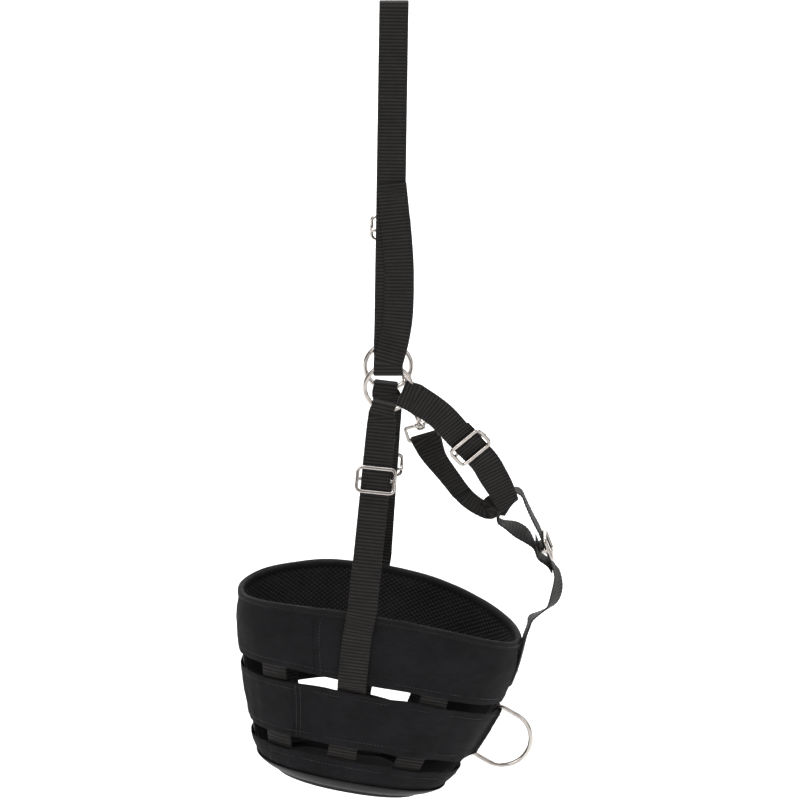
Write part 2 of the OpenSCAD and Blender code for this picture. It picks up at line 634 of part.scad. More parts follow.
// ---------- bar tacks: close rows of thread that hold the straps ----------
module tack(s, above, out) {
    along = unit(place(above) - place(s));
    normal = unit(cross(across(s), along));
    face = normal * sign(normal * out);
    on_strap(place(s) + face * (web_t / 2 + 0.4), across(s), along)
        for (z = [-4, 0, 4])
            translate([-web_w / 2 + 2, -0.2, z - 0.6]) cube([web_w - 4, 0.4, 1.2]);
}
module crown_bar_tack() color([0.2, 0.19, 0.19])
    tack(
        crown_line(-166, -1, 1) + at(X * 1.5, [0, 0, 0], 0),
        crown_line(-160, -1, 1) + at(X * 1.2, [0, 0, 0], 0), -Y);
module basket_bar_tacks() color([0.2, 0.19, 0.19]) {
    tack(wall_station(NEAR_CHEEK_AT, 8, 4.35), wall_station(NEAR_CHEEK_AT, 5, 4.3), -Y);
    tack(wall_station(FAR_CHEEK_AT, 8, 4.35), wall_station(FAR_CHEEK_AT, 5, 4.3), Y);
    tack(
        wall_station(0, 32, STRAP_OVER_BAND + 1.3),
        wall_station(0, 28, STRAP_OVER_BAND + 1.25), X);
}

crown_strap();
crown_slide();
crown_slide_loop();
near_ring();
far_ring();
near_cheek_strap();
near_cheek_slide();
near_cheek_slide_loop();
far_cheek_strap();
far_cheek_slide();
far_cheek_slide_loop();
throat_strap();
throat_slide();
throat_slide_loop();
chin_strap();
chin_slide();
chin_slide_loop();
snap_eye();
snap_body();
snap_bolt();
snap_thumb_stud();
snap_spring();
rim_band();
rim_lining();
rim_binding();
middle_band();
lower_band();
base_pad();
upright_chin();
upright_near_chin();
upright_near_nose();
upright_nose();
upright_far_nose();
upright_far_chin();
chin_dee();
crown_bar_tack();
basket_bar_tacks();
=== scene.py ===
"""Looks for a hanging pony muzzle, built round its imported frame.

Shapes are worked out in millimetres, in the frame's own axes, and scaled to metres as each mesh is made.
A station on a strap is seven numbers: its middle, the direction across the strap, and its width.
"""

import math

import bmesh
import bpy
import numpy as np
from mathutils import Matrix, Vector


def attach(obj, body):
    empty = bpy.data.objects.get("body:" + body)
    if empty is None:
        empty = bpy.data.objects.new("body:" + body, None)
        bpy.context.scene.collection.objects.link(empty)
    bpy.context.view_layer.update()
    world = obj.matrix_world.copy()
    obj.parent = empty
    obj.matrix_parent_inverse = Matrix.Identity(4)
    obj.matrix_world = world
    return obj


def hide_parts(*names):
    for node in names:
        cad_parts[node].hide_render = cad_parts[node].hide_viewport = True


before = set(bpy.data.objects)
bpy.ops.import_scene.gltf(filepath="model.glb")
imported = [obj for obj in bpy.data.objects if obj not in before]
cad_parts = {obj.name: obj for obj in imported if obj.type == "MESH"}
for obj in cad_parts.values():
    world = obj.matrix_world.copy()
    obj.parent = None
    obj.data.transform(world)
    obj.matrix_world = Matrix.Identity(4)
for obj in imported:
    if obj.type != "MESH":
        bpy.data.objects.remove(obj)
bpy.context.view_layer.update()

MM = 0.001
# Webbing and cloth, in millimetres: sizes, gaps between layers, ribs, mesh rows and hems
WEB_W = 25.0
WEB_T = 1.5
GAP = 0.3
STEP = WEB_T + GAP
RIB_PITCH = 3.03
ROW_STEP = 0.42
CUP_END = 38.0
CLOTH_T = 1.5
HEM = 4.6
BINDING_SEWN_AT = 2.6
NET_PITCH, NET_LEAN = 5.0, 1.2
# The rings, and how far a strap lies from the middle of its fold round one
RING_R = 19.7
WIRE_R = 2.0
LEG = WIRE_R + GAP + WEB_T / 2
X = np.array([1.0, 0.0, 0.0])
Y = np.array([0.0, 1.0, 0.0])
Z = np.array([0.0, 0.0, 1.0])

# Levels down the basket's wall, and the layers it is made of
RIM_FOOT, MIDDLE_TOP, MIDDLE_FOOT, LOWER_TOP, LOWER_FOOT = 55.5, 65.0, 110.0, 123.0, 146.0
MIDDLE_MID = (MIDDLE_TOP + MIDDLE_FOOT) / 2
DEPTH = 148.0
RIM_LENGTH, RIM_WIDTH, SADDLE = 121.5, 73.0, 18.0
CORNER_R = 20.0
TAPER_LEVEL, LENGTH_TAPER, WIDTH_TAPER, OVAL = 112.0, 30.0, 12.0, 0.909
TILT = math.radians(10.5)
HOLE_R = 20.0
BAND_OUT = WEB_T + 2.4
RIM_CENTRE = np.array([-12.0, 0.0, -547.0])
NEAR_RING = np.array([-5.0, -30.0, -335.0])
FAR_RING = np.array([-5.0, 30.0, -335.0])
NEAR_CHEEK_AT, FAR_CHEEK_AT = -97.5, 92.5
# Where each slide sits on its strap: up from the cheek strap's foot, or down from the crown
NEAR_SLIDE_AT, FAR_SLIDE_AT, CROWN_SLIDE_AT = 111.0, 92.0, -209.0
RIM_SEAM, MIDDLE_SEAM, LOWER_SEAM = -114.5, -124.0, -146.0
UPRIGHTS = {
    "chin": 0.0, "near_chin": -64.0, "near_nose": -137.5,
    "nose": 180.0, "far_nose": 131.7, "far_chin": 61.0,
}


# ---------- vectors and curves ----------
def unit(v):
    v = np.asarray(v, float)
    return v / np.linalg.norm(v)


def hump(x, width):
    """1 at x = 0, falling to 0 on both sides."""
    return np.exp(-(x / width) ** 2)


def distances(points):
    """Millimetres travelled along a path at each of its points."""
    return np.concatenate([[0], np.cumsum(np.linalg.norm(np.diff(points, axis=0), axis=1))])


def interpolated(want, distance, values):
    """The rows of values at the wanted distances."""
    return np.stack([np.interp(want, distance, column) for column in values.T], -1)


def without_repeats(path):
    """The same path without the points or stations that repeat the one before."""
    gaps = np.linalg.norm(np.diff(path[:, :3], axis=0), axis=1)
    return path[np.concatenate([[True], gaps > 1e-6])]


def flat_dir(degrees):
    a = math.radians(degrees)
    return np.array([math.cos(a), 0.0, math.sin(a)])


def strap_wide(direction):
    return np.array([-direction[2], 0.0, direction[0]])


def at(point, across, width=WEB_W):
    return np.array([*point, *across, width], float)


def smooth(k):
    k = np.clip(k, 0.0, 1.0)
    return k * k * (3 - 2 * k)


def curve(stations, steps=12):
    """A smooth curve through the stations, the same one that the frame's straps follow."""
    s = np.array(stations)
    out = []
    for i in range(len(s) - 1):
        a, b, c, d = s[max(i - 1, 0)], s[i], s[i + 1], s[min(i + 2, len(s) - 1)]
        for k in np.arange(steps) / steps:
            out.append(0.5 * (2 * b + (c - a) * k + (2 * a - 5 * b + 4 * c - d) * k * k
                              + (3 * b - a - 3 * c + d) * k ** 3))
    out.append(s[-1])
    return out


def half_turn(centre, start, far, wide, width, steps=24):
    angles = np.pi * np.arange(steps + 1) / steps
    return [at(centre + start * math.cos(a) + far * math.sin(a), wide, width) for a in angles]


def even(stations, spacing, soft):
    """The same stations at even spacing, lightly smoothed where one stretch joins the next."""
    s = without_repeats(np.array(stations))
    length = distances(s[:, :3])
    want = np.linspace(0, length[-1], int(length[-1] / spacing) + 1)
    s = interpolated(want, length, s)
    reach = int(round(soft / spacing))
    weights = np.hanning(2 * reach + 3)[1:-1]
    weights /= weights.sum()
    padded = np.concatenate([np.repeat(s[:1], reach, 0), s, np.repeat(s[-1:], reach, 0)])
    eased = np.stack([np.convolve(padded[:, i], weights, "valid") for i in range(7)], 1)
    eased[0], eased[-1] = s[0], s[-1]
    return eased


# ---------- the basket's wall ----------
def saddle(d):
    return SADDLE * np.maximum(0, 1 - d / DEPTH) ** 0.6


def bunch(d):
    down = 20 * np.maximum(d, 0) / LOWER_TOP
    up = 20 * np.maximum(0, DEPTH - d) / (DEPTH - LOWER_TOP)
    return np.where(d < LOWER_TOP, down, up)


def wall(t, d, out, share=0.0):
    """Points at angle t in degrees and level d, this far out, drawn in towards the hole by share."""
    t, d, out, share = np.broadcast_arrays(*[np.asarray(v, float) for v in (t, d, out, share)])
    c, s = np.cos(np.radians(t)), np.sin(np.radians(t))
    z = -d + saddle(d) * s ** 2 + bunch(d) * np.maximum(0, s) ** 2
    h = np.minimum(-z, DEPTH)
    taper = (np.maximum(h, 0) / TAPER_LEVEL) ** 1.5
    k = np.clip(h - DEPTH + CORNER_R, 0, CORNER_R - 0.1)
    corner = CORNER_R - np.sqrt(CORNER_R ** 2 - k * k)
    oval_c, oval_s = np.sign(c) * np.abs(c) ** OVAL, np.sign(s) * np.abs(s) ** OVAL
    lean = 3 * np.sin(np.pi * np.maximum(h, 0) / DEPTH)
    x = (1 - share) * (RIM_LENGTH - LENGTH_TAPER * taper - corner + out) * oval_c + share * HOLE_R * c + lean
    y = (1 - share) * (RIM_WIDTH - WIDTH_TAPER * taper - corner + out) * oval_s + share * HOLE_R * s
    return np.stack([x, y, z], -1)


def tilted(v):
    x, y, z = v[..., 0], v[..., 1], v[..., 2]
    return np.stack([math.cos(TILT) * x + math.sin(TILT) * z, y, math.cos(TILT) * z - math.sin(TILT) * x], -1)


def in_place(v):
    return RIM_CENTRE + tilted(v)


def wall_station(t, d, out, width=WEB_W):
    return at(in_place(wall(t, d, out)), unit(tilted(wall(t + 2, d, out) - wall(t - 2, d, out))), width)


def strap_station(t, d, out):
    """The same, turned so that its width runs the way that the straps above the rim have it."""
    s = wall_station(t, d, out)
    return s if t < 0 else at(s[:3], -s[3:6])


def wall_span(t, d):
    """Millimetres round the wall for each degree of t."""
    return np.linalg.norm(wall(t + 3, d, 0) - wall(t - 3, d, 0)) / 6


# ---------- meshes ----------
def piece(name, points, faces, material, body, uv=None):
    """Makes an object from points in millimetres, with a UV pair for each point, and sets it on its body."""
    mesh = bpy.data.meshes.new(name)
    mesh.from_pydata((np.reshape(points, (-1, 3)) * MM).tolist(), [], faces)
    if uv is not None:
        layer = mesh.uv_layers.new(name="cloth")
        index = np.empty(len(mesh.loops), int)
        mesh.loops.foreach_get("vertex_index", index)
        layer.data.foreach_set("uv", (np.reshape(uv, (-1, 2))[index] * MM * 10).astype(np.float32).ravel())
    mesh.validate()
    obj = bpy.data.objects.new(name, mesh)
    bpy.context.collection.objects.link(obj)
    mesh.materials.append(MATERIALS[material])
    bm = bmesh.new()
    bm.from_mesh(mesh)
    bmesh.ops.recalc_face_normals(bm, faces=bm.faces)
    bm.to_mesh(mesh)
    bm.free()
    mesh.polygons.foreach_set("use_smooth", [True] * len(mesh.polygons))
    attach(obj, body)
    return obj


def grid_faces(rows, columns, close_rows=False, close_columns=False, first=0):
    """Quads for points laid out row by row; either way may join end to start."""
    r = np.arange(rows if close_rows else rows - 1)
    c = np.arange(columns if close_columns else columns - 1)
    a, b = np.meshgrid(r, c, indexing="ij")
    a2, b2 = (a + 1) % rows, (b + 1) % columns
    quads = np.stack([a * columns + b, a * columns + b2, a2 * columns + b2, a2 * columns + b], -1)
    return (quads.reshape(-1, 4) + first).tolist()


def ring_piece(name, points, material, uv=None):
    """A piece that runs right round the basket, from rows of points that close both ways."""
    faces = grid_faces(*points.shape[:2], close_rows=True, close_columns=True)
    return piece(name, points, faces, material, "basket", uv)


def end_caps(rows, columns):
    """One face across the first row and one across the last."""
    return [list(range(columns)), list(range((rows - 1) * columns, rows * columns))]


def frames(points, closed=False):
    """Unit directions along a path."""
    if closed:
        along = np.roll(points, -1, 0) - np.roll(points, 1, 0)
    else:
        along = np.gradient(points, axis=0)
    return along / np.linalg.norm(along, axis=1, keepdims=True)


# ---------- webbing ----------
EDGE = np.array([12.5, 12.38, 12.05, 11.5, 10.6, 8.0, 4.0])
ACROSS = np.concatenate([EDGE, [0.0], -EDGE[::-1]]) / 12.5
FULLNESS = np.array([0.0, 0.5, 0.85, 0.97, 1.0, 1.0, 1.0])
FULLNESS = np.concatenate([FULLNESS, [1.0], FULLNESS[::-1]])


def ribs(along):
    """Rounded ribs with narrow grooves between them, from 0 to 1."""
    return np.abs(np.sin(np.pi * along / RIB_PITCH)) ** 0.7


def ribbon(name, upper, lower, across, run, material, body):
    """A strap's two faces shut into one mesh, with UVs in millimetres across and along it."""
    rings = np.concatenate([upper, lower[:, -2:0:-1]], 1)
    across = np.concatenate([across, across[:, -2:0:-1]], 1)
    uv = np.stack([across, np.repeat(run[:, None], across.shape[1], 1)], -1)
    faces = grid_faces(*across.shape, close_columns=True) + end_caps(*across.shape)
    return piece(name, rings, faces, material, body, uv)


def webbing(name, stations, node, body="basket", rib=0.58, thick=WEB_T, cup=0.0, soft=1.5):
    """Ribbed webbing along stations; its first CUP_END millimetres bend across by cup, round the basket."""
    s = even(stations, ROW_STEP, soft)
    p, width = s[:, :3], s[:, 6]
    along = frames(p)
    w = s[:, 3:6] - np.sum(s[:, 3:6] * along, 1, keepdims=True) * along
    w /= np.linalg.norm(w, axis=1, keepdims=True)
    out = np.cross(along, w)
    run = np.arange(len(s)) * ROW_STEP
    height = ribs(run)
    half = width / 2 + 0.28 * (height - 0.8)
    deep_run = (thick / 2 - 0.12) * np.ones(len(s))
    ends = np.minimum(run, run[-1] - run)
    deep_run *= np.clip(0.75 + ends / 2.0, 0, 1)
    top = ACROSS[None, :] * half[:, None]
    deep = FULLNESS * np.where(np.abs(ACROSS) > 0.93, 0.55, 1.0)
    rise = FULLNESS[None, :] * deep_run[:, None] + rib * deep[None, :] * (height - 0.62)[:, None]
    rise[:, [0, -1]] = 0
    bent = cup * (1 - smooth((run - CUP_END) / 16))[:, None] * ACROSS[None, :] ** 2
    p = p[:, None] - out[:, None] * bent[..., None]
    upper = p + w[:, None] * top[..., None] + out[:, None] * rise[..., None]
    lower = p + w[:, None] * top[..., None] - out[:, None] * rise[..., None]
    made = ribbon(name, upper, lower, top, run, "webbing", body)
    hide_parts(node)


def stitches(name, paths, body, length=2.3, every=3.2, radius=0.32, node=None):
    """Sewing thread: a small rounded dash for each stitch along each path of [points, outward directions]."""
    sides, stops = 6, np.array([-1.0, -0.8, 0.0, 0.8, 1.0])
    swell = np.array([0.12, 0.75, 1.0, 0.75, 0.12])
    turn = 2 * np.pi * np.arange(sides) / sides
    points, faces = [], []
    for p, out in paths:
        travel = distances(p)
        for m in np.arange(every / 2, travel[-1], every):
            c = interpolated(m, travel, p)
            n = unit(interpolated(m, travel, out))
            a = unit(interpolated(m + 0.4, travel, p) - interpolated(m - 0.4, travel, p))
            b = np.cross(n, a)
            ring = np.cos(turn)[:, None] * b + np.sin(turn)[:, None] * n
            sink = -0.35 * radius * stops ** 2
            dash = (c + a * (stops * length / 2)[:, None] + n * sink[:, None])[:, None]
            dash = dash + ring[None] * (swell * radius)[:, None, None]
            faces += grid_faces(len(stops), sides, close_columns=True, first=len(points) * sides * len(stops))
            points.append(dash.reshape(-1, 3))
    made = piece(name, np.concatenate(points), faces, "thread", body)
    if node:
        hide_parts(node)


# ---------- metal ----------
def tube(points, normal, in_plane, out_of_plane, closed=False, sides=28, squareness=1.0):
    """Rings of points for wire along a flat path, round or flattened."""
    p = np.asarray(points)
    along = frames(p, closed)
    n = np.broadcast_to(unit(np.asarray(normal, float)), p.shape)
    side = np.cross(n, along)
    turn = 2 * np.pi * np.arange(sides) / sides
    c, s = np.cos(turn), np.sin(turn)
    c, s = np.sign(c) * np.abs(c) ** squareness, np.sign(s) * np.abs(s) ** squareness
    a = np.broadcast_to(in_plane, len(p))[:, None, None]
    b = np.broadcast_to(out_of_plane, len(p))[:, None, None]
    rings = p[:, None] + side[:, None] * c[None, :, None] * a + n[:, None] * s[None, :, None] * b
    faces = grid_faces(len(p), sides, close_rows=closed, close_columns=True)
    if not closed:
        faces += end_caps(len(p), sides)
    return rings.reshape(-1, 3), faces


def lathe(profile, sides=40):
    """Rings about the z axis for a profile of [radius, z], shut at both ends."""
    turn = 2 * np.pi * np.arange(sides) / sides
    r = np.array(profile, float)
    x = r[:, :1] * np.cos(turn)
    y = r[:, :1] * np.sin(turn)
    z = np.repeat(r[:, 1:], sides, 1)
    faces = grid_faces(len(r), sides, close_columns=True) + end_caps(len(r), sides)
    return np.stack([x, y, z], -1).reshape(-1, 3), faces


def rounded_box(size, centre, radius):
    """A block with rounded edges, as points and faces."""
    bm = bmesh.new()
    bmesh.ops.create_cube(bm, size=1.0)
    for v in bm.verts:
        v.co = Vector([v.co[i] * size[i] for i in range(3)])
    bmesh.ops.bevel(bm, geom=list(bm.edges), offset=radius, segments=5, profile=0.5, affect="EDGES")
    bm.verts.index_update()
    points = np.array([v.co for v in bm.verts]) + centre
    faces = [[v.index for v in f.verts] for f in bm.faces]
    bm.free()
    return points, faces


def joined(parts):
    points, faces, first = [], [], 0
    for p, f in parts:
        points.append(p)
        faces += [[i + first for i in face] for face in f]
        first += len(p)
    return np.concatenate(points), faces


def axes_on_strap(point, wide, up):
    """A frame with x across the strap, y out of it and z along it, for the slides and the snap."""
    z = unit(up)
    x = unit(wide - np.dot(wide, z) * z)
    return point, np.stack([x, np.cross(z, x), z])


def moved(points, axes):
    origin, rows = axes
    return origin + points @ rows


def shifted(part, offset):
    return part[0] + np.array(offset), part[1]


def metal(name, parts, axes, body, node):
    points, faces = joined(parts)
    if axes is not None:
        points = moved(points, axes)
    made = piece(name, points, faces, "nickel", body)
    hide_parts(node)


def rounded_path(corners, radius, steps, edge):
    """A closed path through corners, each turned with an arc-like bend."""
    c = np.asarray(corners, float)
    out = []
    for i in range(len(c)):
        before, here, after = c[i - 1], c[i], c[(i + 1) % len(c)]
        a = here + unit(before - here) * radius
        b = here + unit(after - here) * radius
        for k in np.linspace(0, 1, steps):
            out.append((1 - k) ** 2 * a + 2 * k * (1 - k) * here + k * k * b)
        after_start = after + unit(here - after) * radius
        for k in np.arange(1, edge) / edge:
            out.append(b + (after_start - b) * k)
    return np.array(out)


# ---------- materials ----------
def add(tree, kind, inputs=None, **properties):
    """A shader node with its inputs set to values or joined to other nodes' outputs."""
    made = tree.nodes.new("ShaderNode" + kind)
    for key, value in properties.items():
        setattr(made, key, value)
    for key, value in (inputs or {}).items():
        if isinstance(value, bpy.types.NodeSocket):
            tree.links.new(value, made.inputs[key])
        else:
            made.inputs[key].default_value = value
    return made


def ramp(tree, factor, *stops):
    made = add(tree, "ValToRGB", {"Fac": factor})
    elements = made.color_ramp.elements
    elements[0].position, elements[0].color = stops[0][0], (*stops[0][1], 1)
    elements[1].position, elements[1].color = stops[-1][0], (*stops[-1][1], 1)
    for position, colour in stops[1:-1]:
        elements.new(position).color = (*colour, 1)
    return made.outputs["Color"]


def new_material(name, sockets):
    made = bpy.data.materials.new(name)
    made.use_nodes = True
    tree = made.node_tree
    shader = tree.nodes["Principled BSDF"]
    for key, value in sockets.items():
        shader.inputs[key].default_value = value
    return made, tree, shader


def bump(tree, shader, height, distance, strength=1.0):
    made = add(tree, "Bump", {"Height": height, "Distance": distance, "Strength": strength})
    tree.links.new(made.outputs["Normal"], shader.inputs["Normal"])


def coloured(tree, shader, factor, *stops):
    tree.links.new(ramp(tree, factor, *stops), shader.inputs["Base Color"])


def maths(tree, operation, a, b=0.0):
    return add(tree, "Math", {0: a, 1: b}, operation=operation).outputs[0]


def weighted(tree, *terms):
    """The sum of the terms, each a value and its weight."""
    parts = [value if weight == 1 else maths(tree, "MULTIPLY", value, weight) for value, weight in terms]
    total = parts[0]
    for part in parts[1:]:
        total = maths(tree, "ADD", total, part)
    return total


def cloth_axes(tree):
    """Millimetres across and along the cloth, from its own flat coordinates."""
    uv = add(tree, "TexCoord").outputs["UV"]
    flat = add(tree, "VectorMath", {0: uv, 1: (100.0, 100.0, 100.0)}, operation="MULTIPLY").outputs[0]
    parts = add(tree, "SeparateXYZ", {0: flat})
    return flat, parts.outputs["X"], parts.outputs["Y"]


def cycle(tree, value, pitch):
    """A wave from 0 to 1 that repeats every pitch millimetres."""
    phase = maths(tree, "MULTIPLY", value, 2 * math.pi / pitch)
    return maths(tree, "MULTIPLY_ADD", maths(tree, "SINE", phase), 0.5)


def patches(tree, vector, scale, detail=3.0, rough=0.6):
    return add(tree, "TexNoise", {"Vector": vector, "Scale": scale, "Detail": detail,
                                  "Roughness": rough}).outputs["Fac"]


def webbing_material(name="webbing", tone=1.0):
    made, tree, shader = new_material(name, {
        "Roughness": 0.6, "Specular IOR Level": 0.2, "Sheen Weight": 0.012,
        "Sheen Roughness": 0.45, "Sheen Tint": (0.75, 0.68, 0.64, 1)})
    flat, across, along = cloth_axes(tree)
    # The rib term paints shade into the colour: the grooves between ribs are painted darker and the rib tops
    # lighter, over the real rib bumps of the mesh.
    rib = maths(tree, "ABSOLUTE", maths(tree, "SINE", maths(tree, "MULTIPLY", along, math.pi / RIB_PITCH)))
    worn = patches(tree, flat, 0.06)
    shade = weighted(tree, (rib, 0.75), (worn, 0.4))
    # shade mixes the painted groove shade from rib with random worn patches; the dark stop is mostly the
    # painted shade in the grooves.
    dark, mid, light = [(0.0006, 0.0005, 0.0005), (0.0052, 0.0046, 0.0043), (0.0215, 0.0190, 0.0176)]
    colours = [tuple(tone * c for c in stop) for stop in (dark, mid, light)]
    coloured(tree, shader, shade, (0.12, colours[0]), (0.62, colours[1]), (1.0, colours[2]))
    yarn = cycle(tree, across, 0.62)
    twist = cycle(tree, weighted(tree, (across, 1), (along, 0.8)), 0.35)
    fibre = patches(tree, flat, 2.2)
    height = weighted(tree, (yarn, 0.6), (twist, 0.25), (fibre, 0.5))
    bump(tree, shader, height, 0.00012, 0.8)
    return made


def cloth_material(name, dark, light, pitch, depth, streak, roughness=0.85, net=0.0):
    """Woven sheet: a fine diagonal weave over patchy wear, with lint that lies along the weave. With net, a
    painted highlight lies on the net's ridges and painted shade in its dimples.
    """
    made, tree, shader = new_material(name, {
        "Roughness": roughness, "Specular IOR Level": 0.09, "Sheen Weight": 0.008,
        "Sheen Roughness": 0.5, "Sheen Tint": (0.8, 0.78, 0.8, 1)})
    flat, across, along = cloth_axes(tree)
    warp = patches(tree, flat, 0.35, 2.0)
    twill = cycle(tree, weighted(tree, (across, 1), (warp, 1.5), (along, 1.6)), pitch)
    weft = cycle(tree, along, pitch * 0.62)
    wear = patches(tree, flat, 0.03, 5.0, 0.65)
    stretched = add(tree, "VectorMath", {0: flat, 1: (0.05, 0.8, 1.0)}, operation="MULTIPLY").outputs[0]
    lint = patches(tree, stretched, 1.4, 4.0, 0.7)
    shade = weighted(tree, (wear, 0.6), (lint, streak), (twill, 0.32))
    # Painted light on the lining's net: its ridges are painted lighter and its dimples darker, in step with
    # the real dimples shaped in lining().
    if net:
        one = cycle(tree, weighted(tree, (across, 1), (along, NET_LEAN)), NET_PITCH)
        two = cycle(tree, weighted(tree, (across, 1), (along, -NET_LEAN)), NET_PITCH)
        painted_net_highlight = maths(tree, "MULTIPLY", maths(tree, "MULTIPLY", one, two), net)
        shade = weighted(tree, (shade, 0.7), (painted_net_highlight, 1))
    coloured(tree, shader, shade, (0.25, dark), (0.95, light))
    bump(tree, shader, weighted(tree, (twill, 1), (weft, 0.5), (lint, 0.8)), depth, 0.9)
    return made


def thread_material():
    made, tree, shader = new_material("thread", {"Roughness": 0.5, "Specular IOR Level": 0.45})
    place = add(tree, "TexCoord").outputs["Object"]
    ply = add(tree, "TexWave", {"Vector": place, "Scale": 900.0, "Distortion": 1.0},
              bands_direction="DIAGONAL").outputs["Fac"]
    coloured(tree, shader, ply, (0.2, (0.003, 0.003, 0.0031)), (0.9, (0.016, 0.0155, 0.0155)))
    bump(tree, shader, ply, 0.00006, 0.6)
    return made


def nickel_material():
    made, tree, shader = new_material("nickel", {"Metallic": 1.0})
    place = add(tree, "TexCoord").outputs["Object"]
    haze = patches(tree, place, 90.0, 4.0)
    fine = patches(tree, place, 900.0, 2.0)
    coloured(tree, shader, haze, (0.3, (0.40, 0.365, 0.34)), (0.7, (0.58, 0.54, 0.51)))
    gloss = weighted(tree, (haze, 0.16), (fine, 0.06))
    tree.links.new(maths(tree, "ADD", gloss, 0.12), shader.inputs["Roughness"])
    bump(tree, shader, fine, 0.00003, 0.35)
    return made


def rubber_material():
    made, tree, shader = new_material("base_rubber", {
        "Specular IOR Level": 0.3, "Coat Weight": 0.1, "Coat Roughness": 0.25})
    place = add(tree, "TexCoord").outputs["Object"]
    scuff = patches(tree, place, 45.0, 6.0, 0.7)
    grain = patches(tree, place, 1400.0, 2.0)
    coloured(tree, shader, scuff, (0.35, (0.0022, 0.0022, 0.0024)), (0.75, (0.011, 0.011, 0.012)))
    tree.links.new(maths(tree, "MULTIPLY_ADD", scuff, 0.35), shader.inputs["Roughness"])
    bump(tree, shader, grain, 0.00008, 0.5)
    return made


MATERIALS = {
    "webbing": webbing_material(),
    "upright": webbing_material("upright_webbing", 0.7),
    "fabric": cloth_material("basket_fabric", (0.0008, 0.0008, 0.0010), (0.0175, 0.0168, 0.0188),
                             2.1, 0.0003, 0.4),
    # net=0.55 sets how strong the painted highlight on the lining's net ridges is.
    "lining": cloth_material("lining", (0.0035, 0.0035, 0.0037), (0.040, 0.038, 0.039),
                             0.9, 0.0001, 0.2, net=0.55),
    "binding": cloth_material("binding", (0.004, 0.004, 0.0045), (0.022, 0.021, 0.022),
                              0.8, 0.00014, 0.3, 0.7),
    "thread": thread_material(),
    "nickel": nickel_material(),
    "rubber": rubber_material(),
}


# ---------- the headpiece ----------
FOLD_W = 20.0
THROAT_FOLD_W = 23.0
TURN_W = 18.0
RETURN_CLEAR = 14.0
STRAP_OVER_BAND = BAND_OUT + 0.4 + WEB_T / 2


def fold_at(width):
    return math.sqrt((RING_R - WIRE_R) ** 2 - (width / 2) ** 2) - GAP + LEG - WEB_T / 2


def cheek_places(side):
    """The straight part of a cheek strap: foot, top, direction up, and the return layer's offset."""
    ring, angle, t = (NEAR_RING, -100.5, NEAR_CHEEK_AT) if side < 0 else (FAR_RING, -91, FAR_CHEEK_AT)
    top = ring + flat_dir(angle) * 31 + Y * side * (LEG + 2)
    foot = wall_station(t, -7, 4.8)[:3]
    up = unit(top - foot)
    inward = -unit(np.cross(up, np.cross(np.array([0, side, 0]), up))) * STEP
    return foot, top, up, inward


def cheek_stations(side, return_end):
    ring, pull, t = (NEAR_RING, flat_dir(-104), NEAR_CHEEK_AT) if side < 0 else (
        FAR_RING, flat_dir(-97), FAR_CHEEK_AT)
    foot, top, up, inward = cheek_places(side)
    fold = ring + pull * fold_at(FOLD_W)
    wide = strap_wide(pull)
    lean = Y * side * LEG
    behind = [
        at(foot + up * return_end + inward, X),
        at(foot + up * (return_end + 14) + inward, X),
        at(top - up * 4 + inward, X),
        at(fold + pull * 9 - lean, wide, FOLD_W + 2),
    ]
    front = [
        at(fold + pull * 8 + lean, wide, FOLD_W + 2),
        at(top, X), at(top - up * 20, X), at(foot + up * 60, X), at(foot + up * 12, X), at(foot, X),
    ]
    over = [(3, 4.3), (14, 4.4), (26, STRAP_OVER_BAND), (42, STRAP_OVER_BAND), (RIM_FOOT, STRAP_OVER_BAND),
            (RIM_FOOT + 5, 2.8), (RIM_FOOT + 9.5, WEB_T / 2)]
    under = [MIDDLE_TOP + 6, 82, 90, 100, MIDDLE_FOOT, 117, LOWER_TOP, 128, 132, 136, 140, 143.5]
    front += [strap_station(t, d, out) for d, out in over]
    front += [strap_station(t, d, WEB_T / 2) for d in under]
    return curve(behind) + half_turn(fold, -lean, -pull * LEG, wide, FOLD_W) + curve(front)


TOP_R = 3.25 + WEB_T / 2


def crown_line(z, side, layer):
    y = side * (TOP_R - z * 26 / 335) + side * layer * STEP / 2
    return at([z * 5 / 335, y, z], X)


def crown_stations():
    near = NEAR_RING + Z * fold_at(WEB_W)
    far = FAR_RING + Z * fold_at(WEB_W)
    shifts = [(-156, 0.5), (-178, 3), (-204, 6), (-232, 8), (-268, 8), (-292, 5)]
    tail = [crown_line(z, -1, 1) + at(X * shift, [0, 0, 0], 0) for z, shift in shifts]
    near_run = [crown_line(z, -1, -1) for z in (-300, -240, -170, -100, -40, -12)]
    far_run = [crown_line(z, 1, 1) for z in (-12, -60, -120, -180, -240, -300)]
    back = [crown_line(z, 1, -1) for z in (-302, -270, CROWN_SLIDE_AT - RETURN_CLEAR - 4)]
    peg = np.array([0, 0, -TOP_R + WEB_T / 2])
    return (curve(tail + [at(near + Z * 8 - Y * LEG, X)])
            + half_turn(near, -Y * LEG, -Z * LEG, X, WEB_W)
            + curve([at(near + Z * 8 + Y * LEG, X)] + near_run)
            + half_turn(peg, -Y * TOP_R, Z * TOP_R, X, WEB_W)
            + curve(far_run + [at(far + Z * 8 + Y * LEG, X)])
            + half_turn(far, Y * LEG, -Z * LEG, X, WEB_W)
            + curve([at(far + Z * 8 - Y * LEG, X)] + back))


THROAT_A = np.array([38, -31, -358.5])
THROAT_B = np.array([76, -21, -402.5])
THROAT_UP = unit(THROAT_A - THROAT_B)
THROAT_MID = (THROAT_A + THROAT_B) / 2
TURN_MID = np.array([98.0, 0, -451])
SNAP_DIR = flat_dir(107)
SNAP_WIDE = flat_dir(17)
HOOK_MID = FAR_RING + flat_dir(-40) * RING_R - SNAP_DIR * 1.5
EYE_BAR = -52.0
EYE_AT = HOOK_MID + SNAP_DIR * EYE_BAR


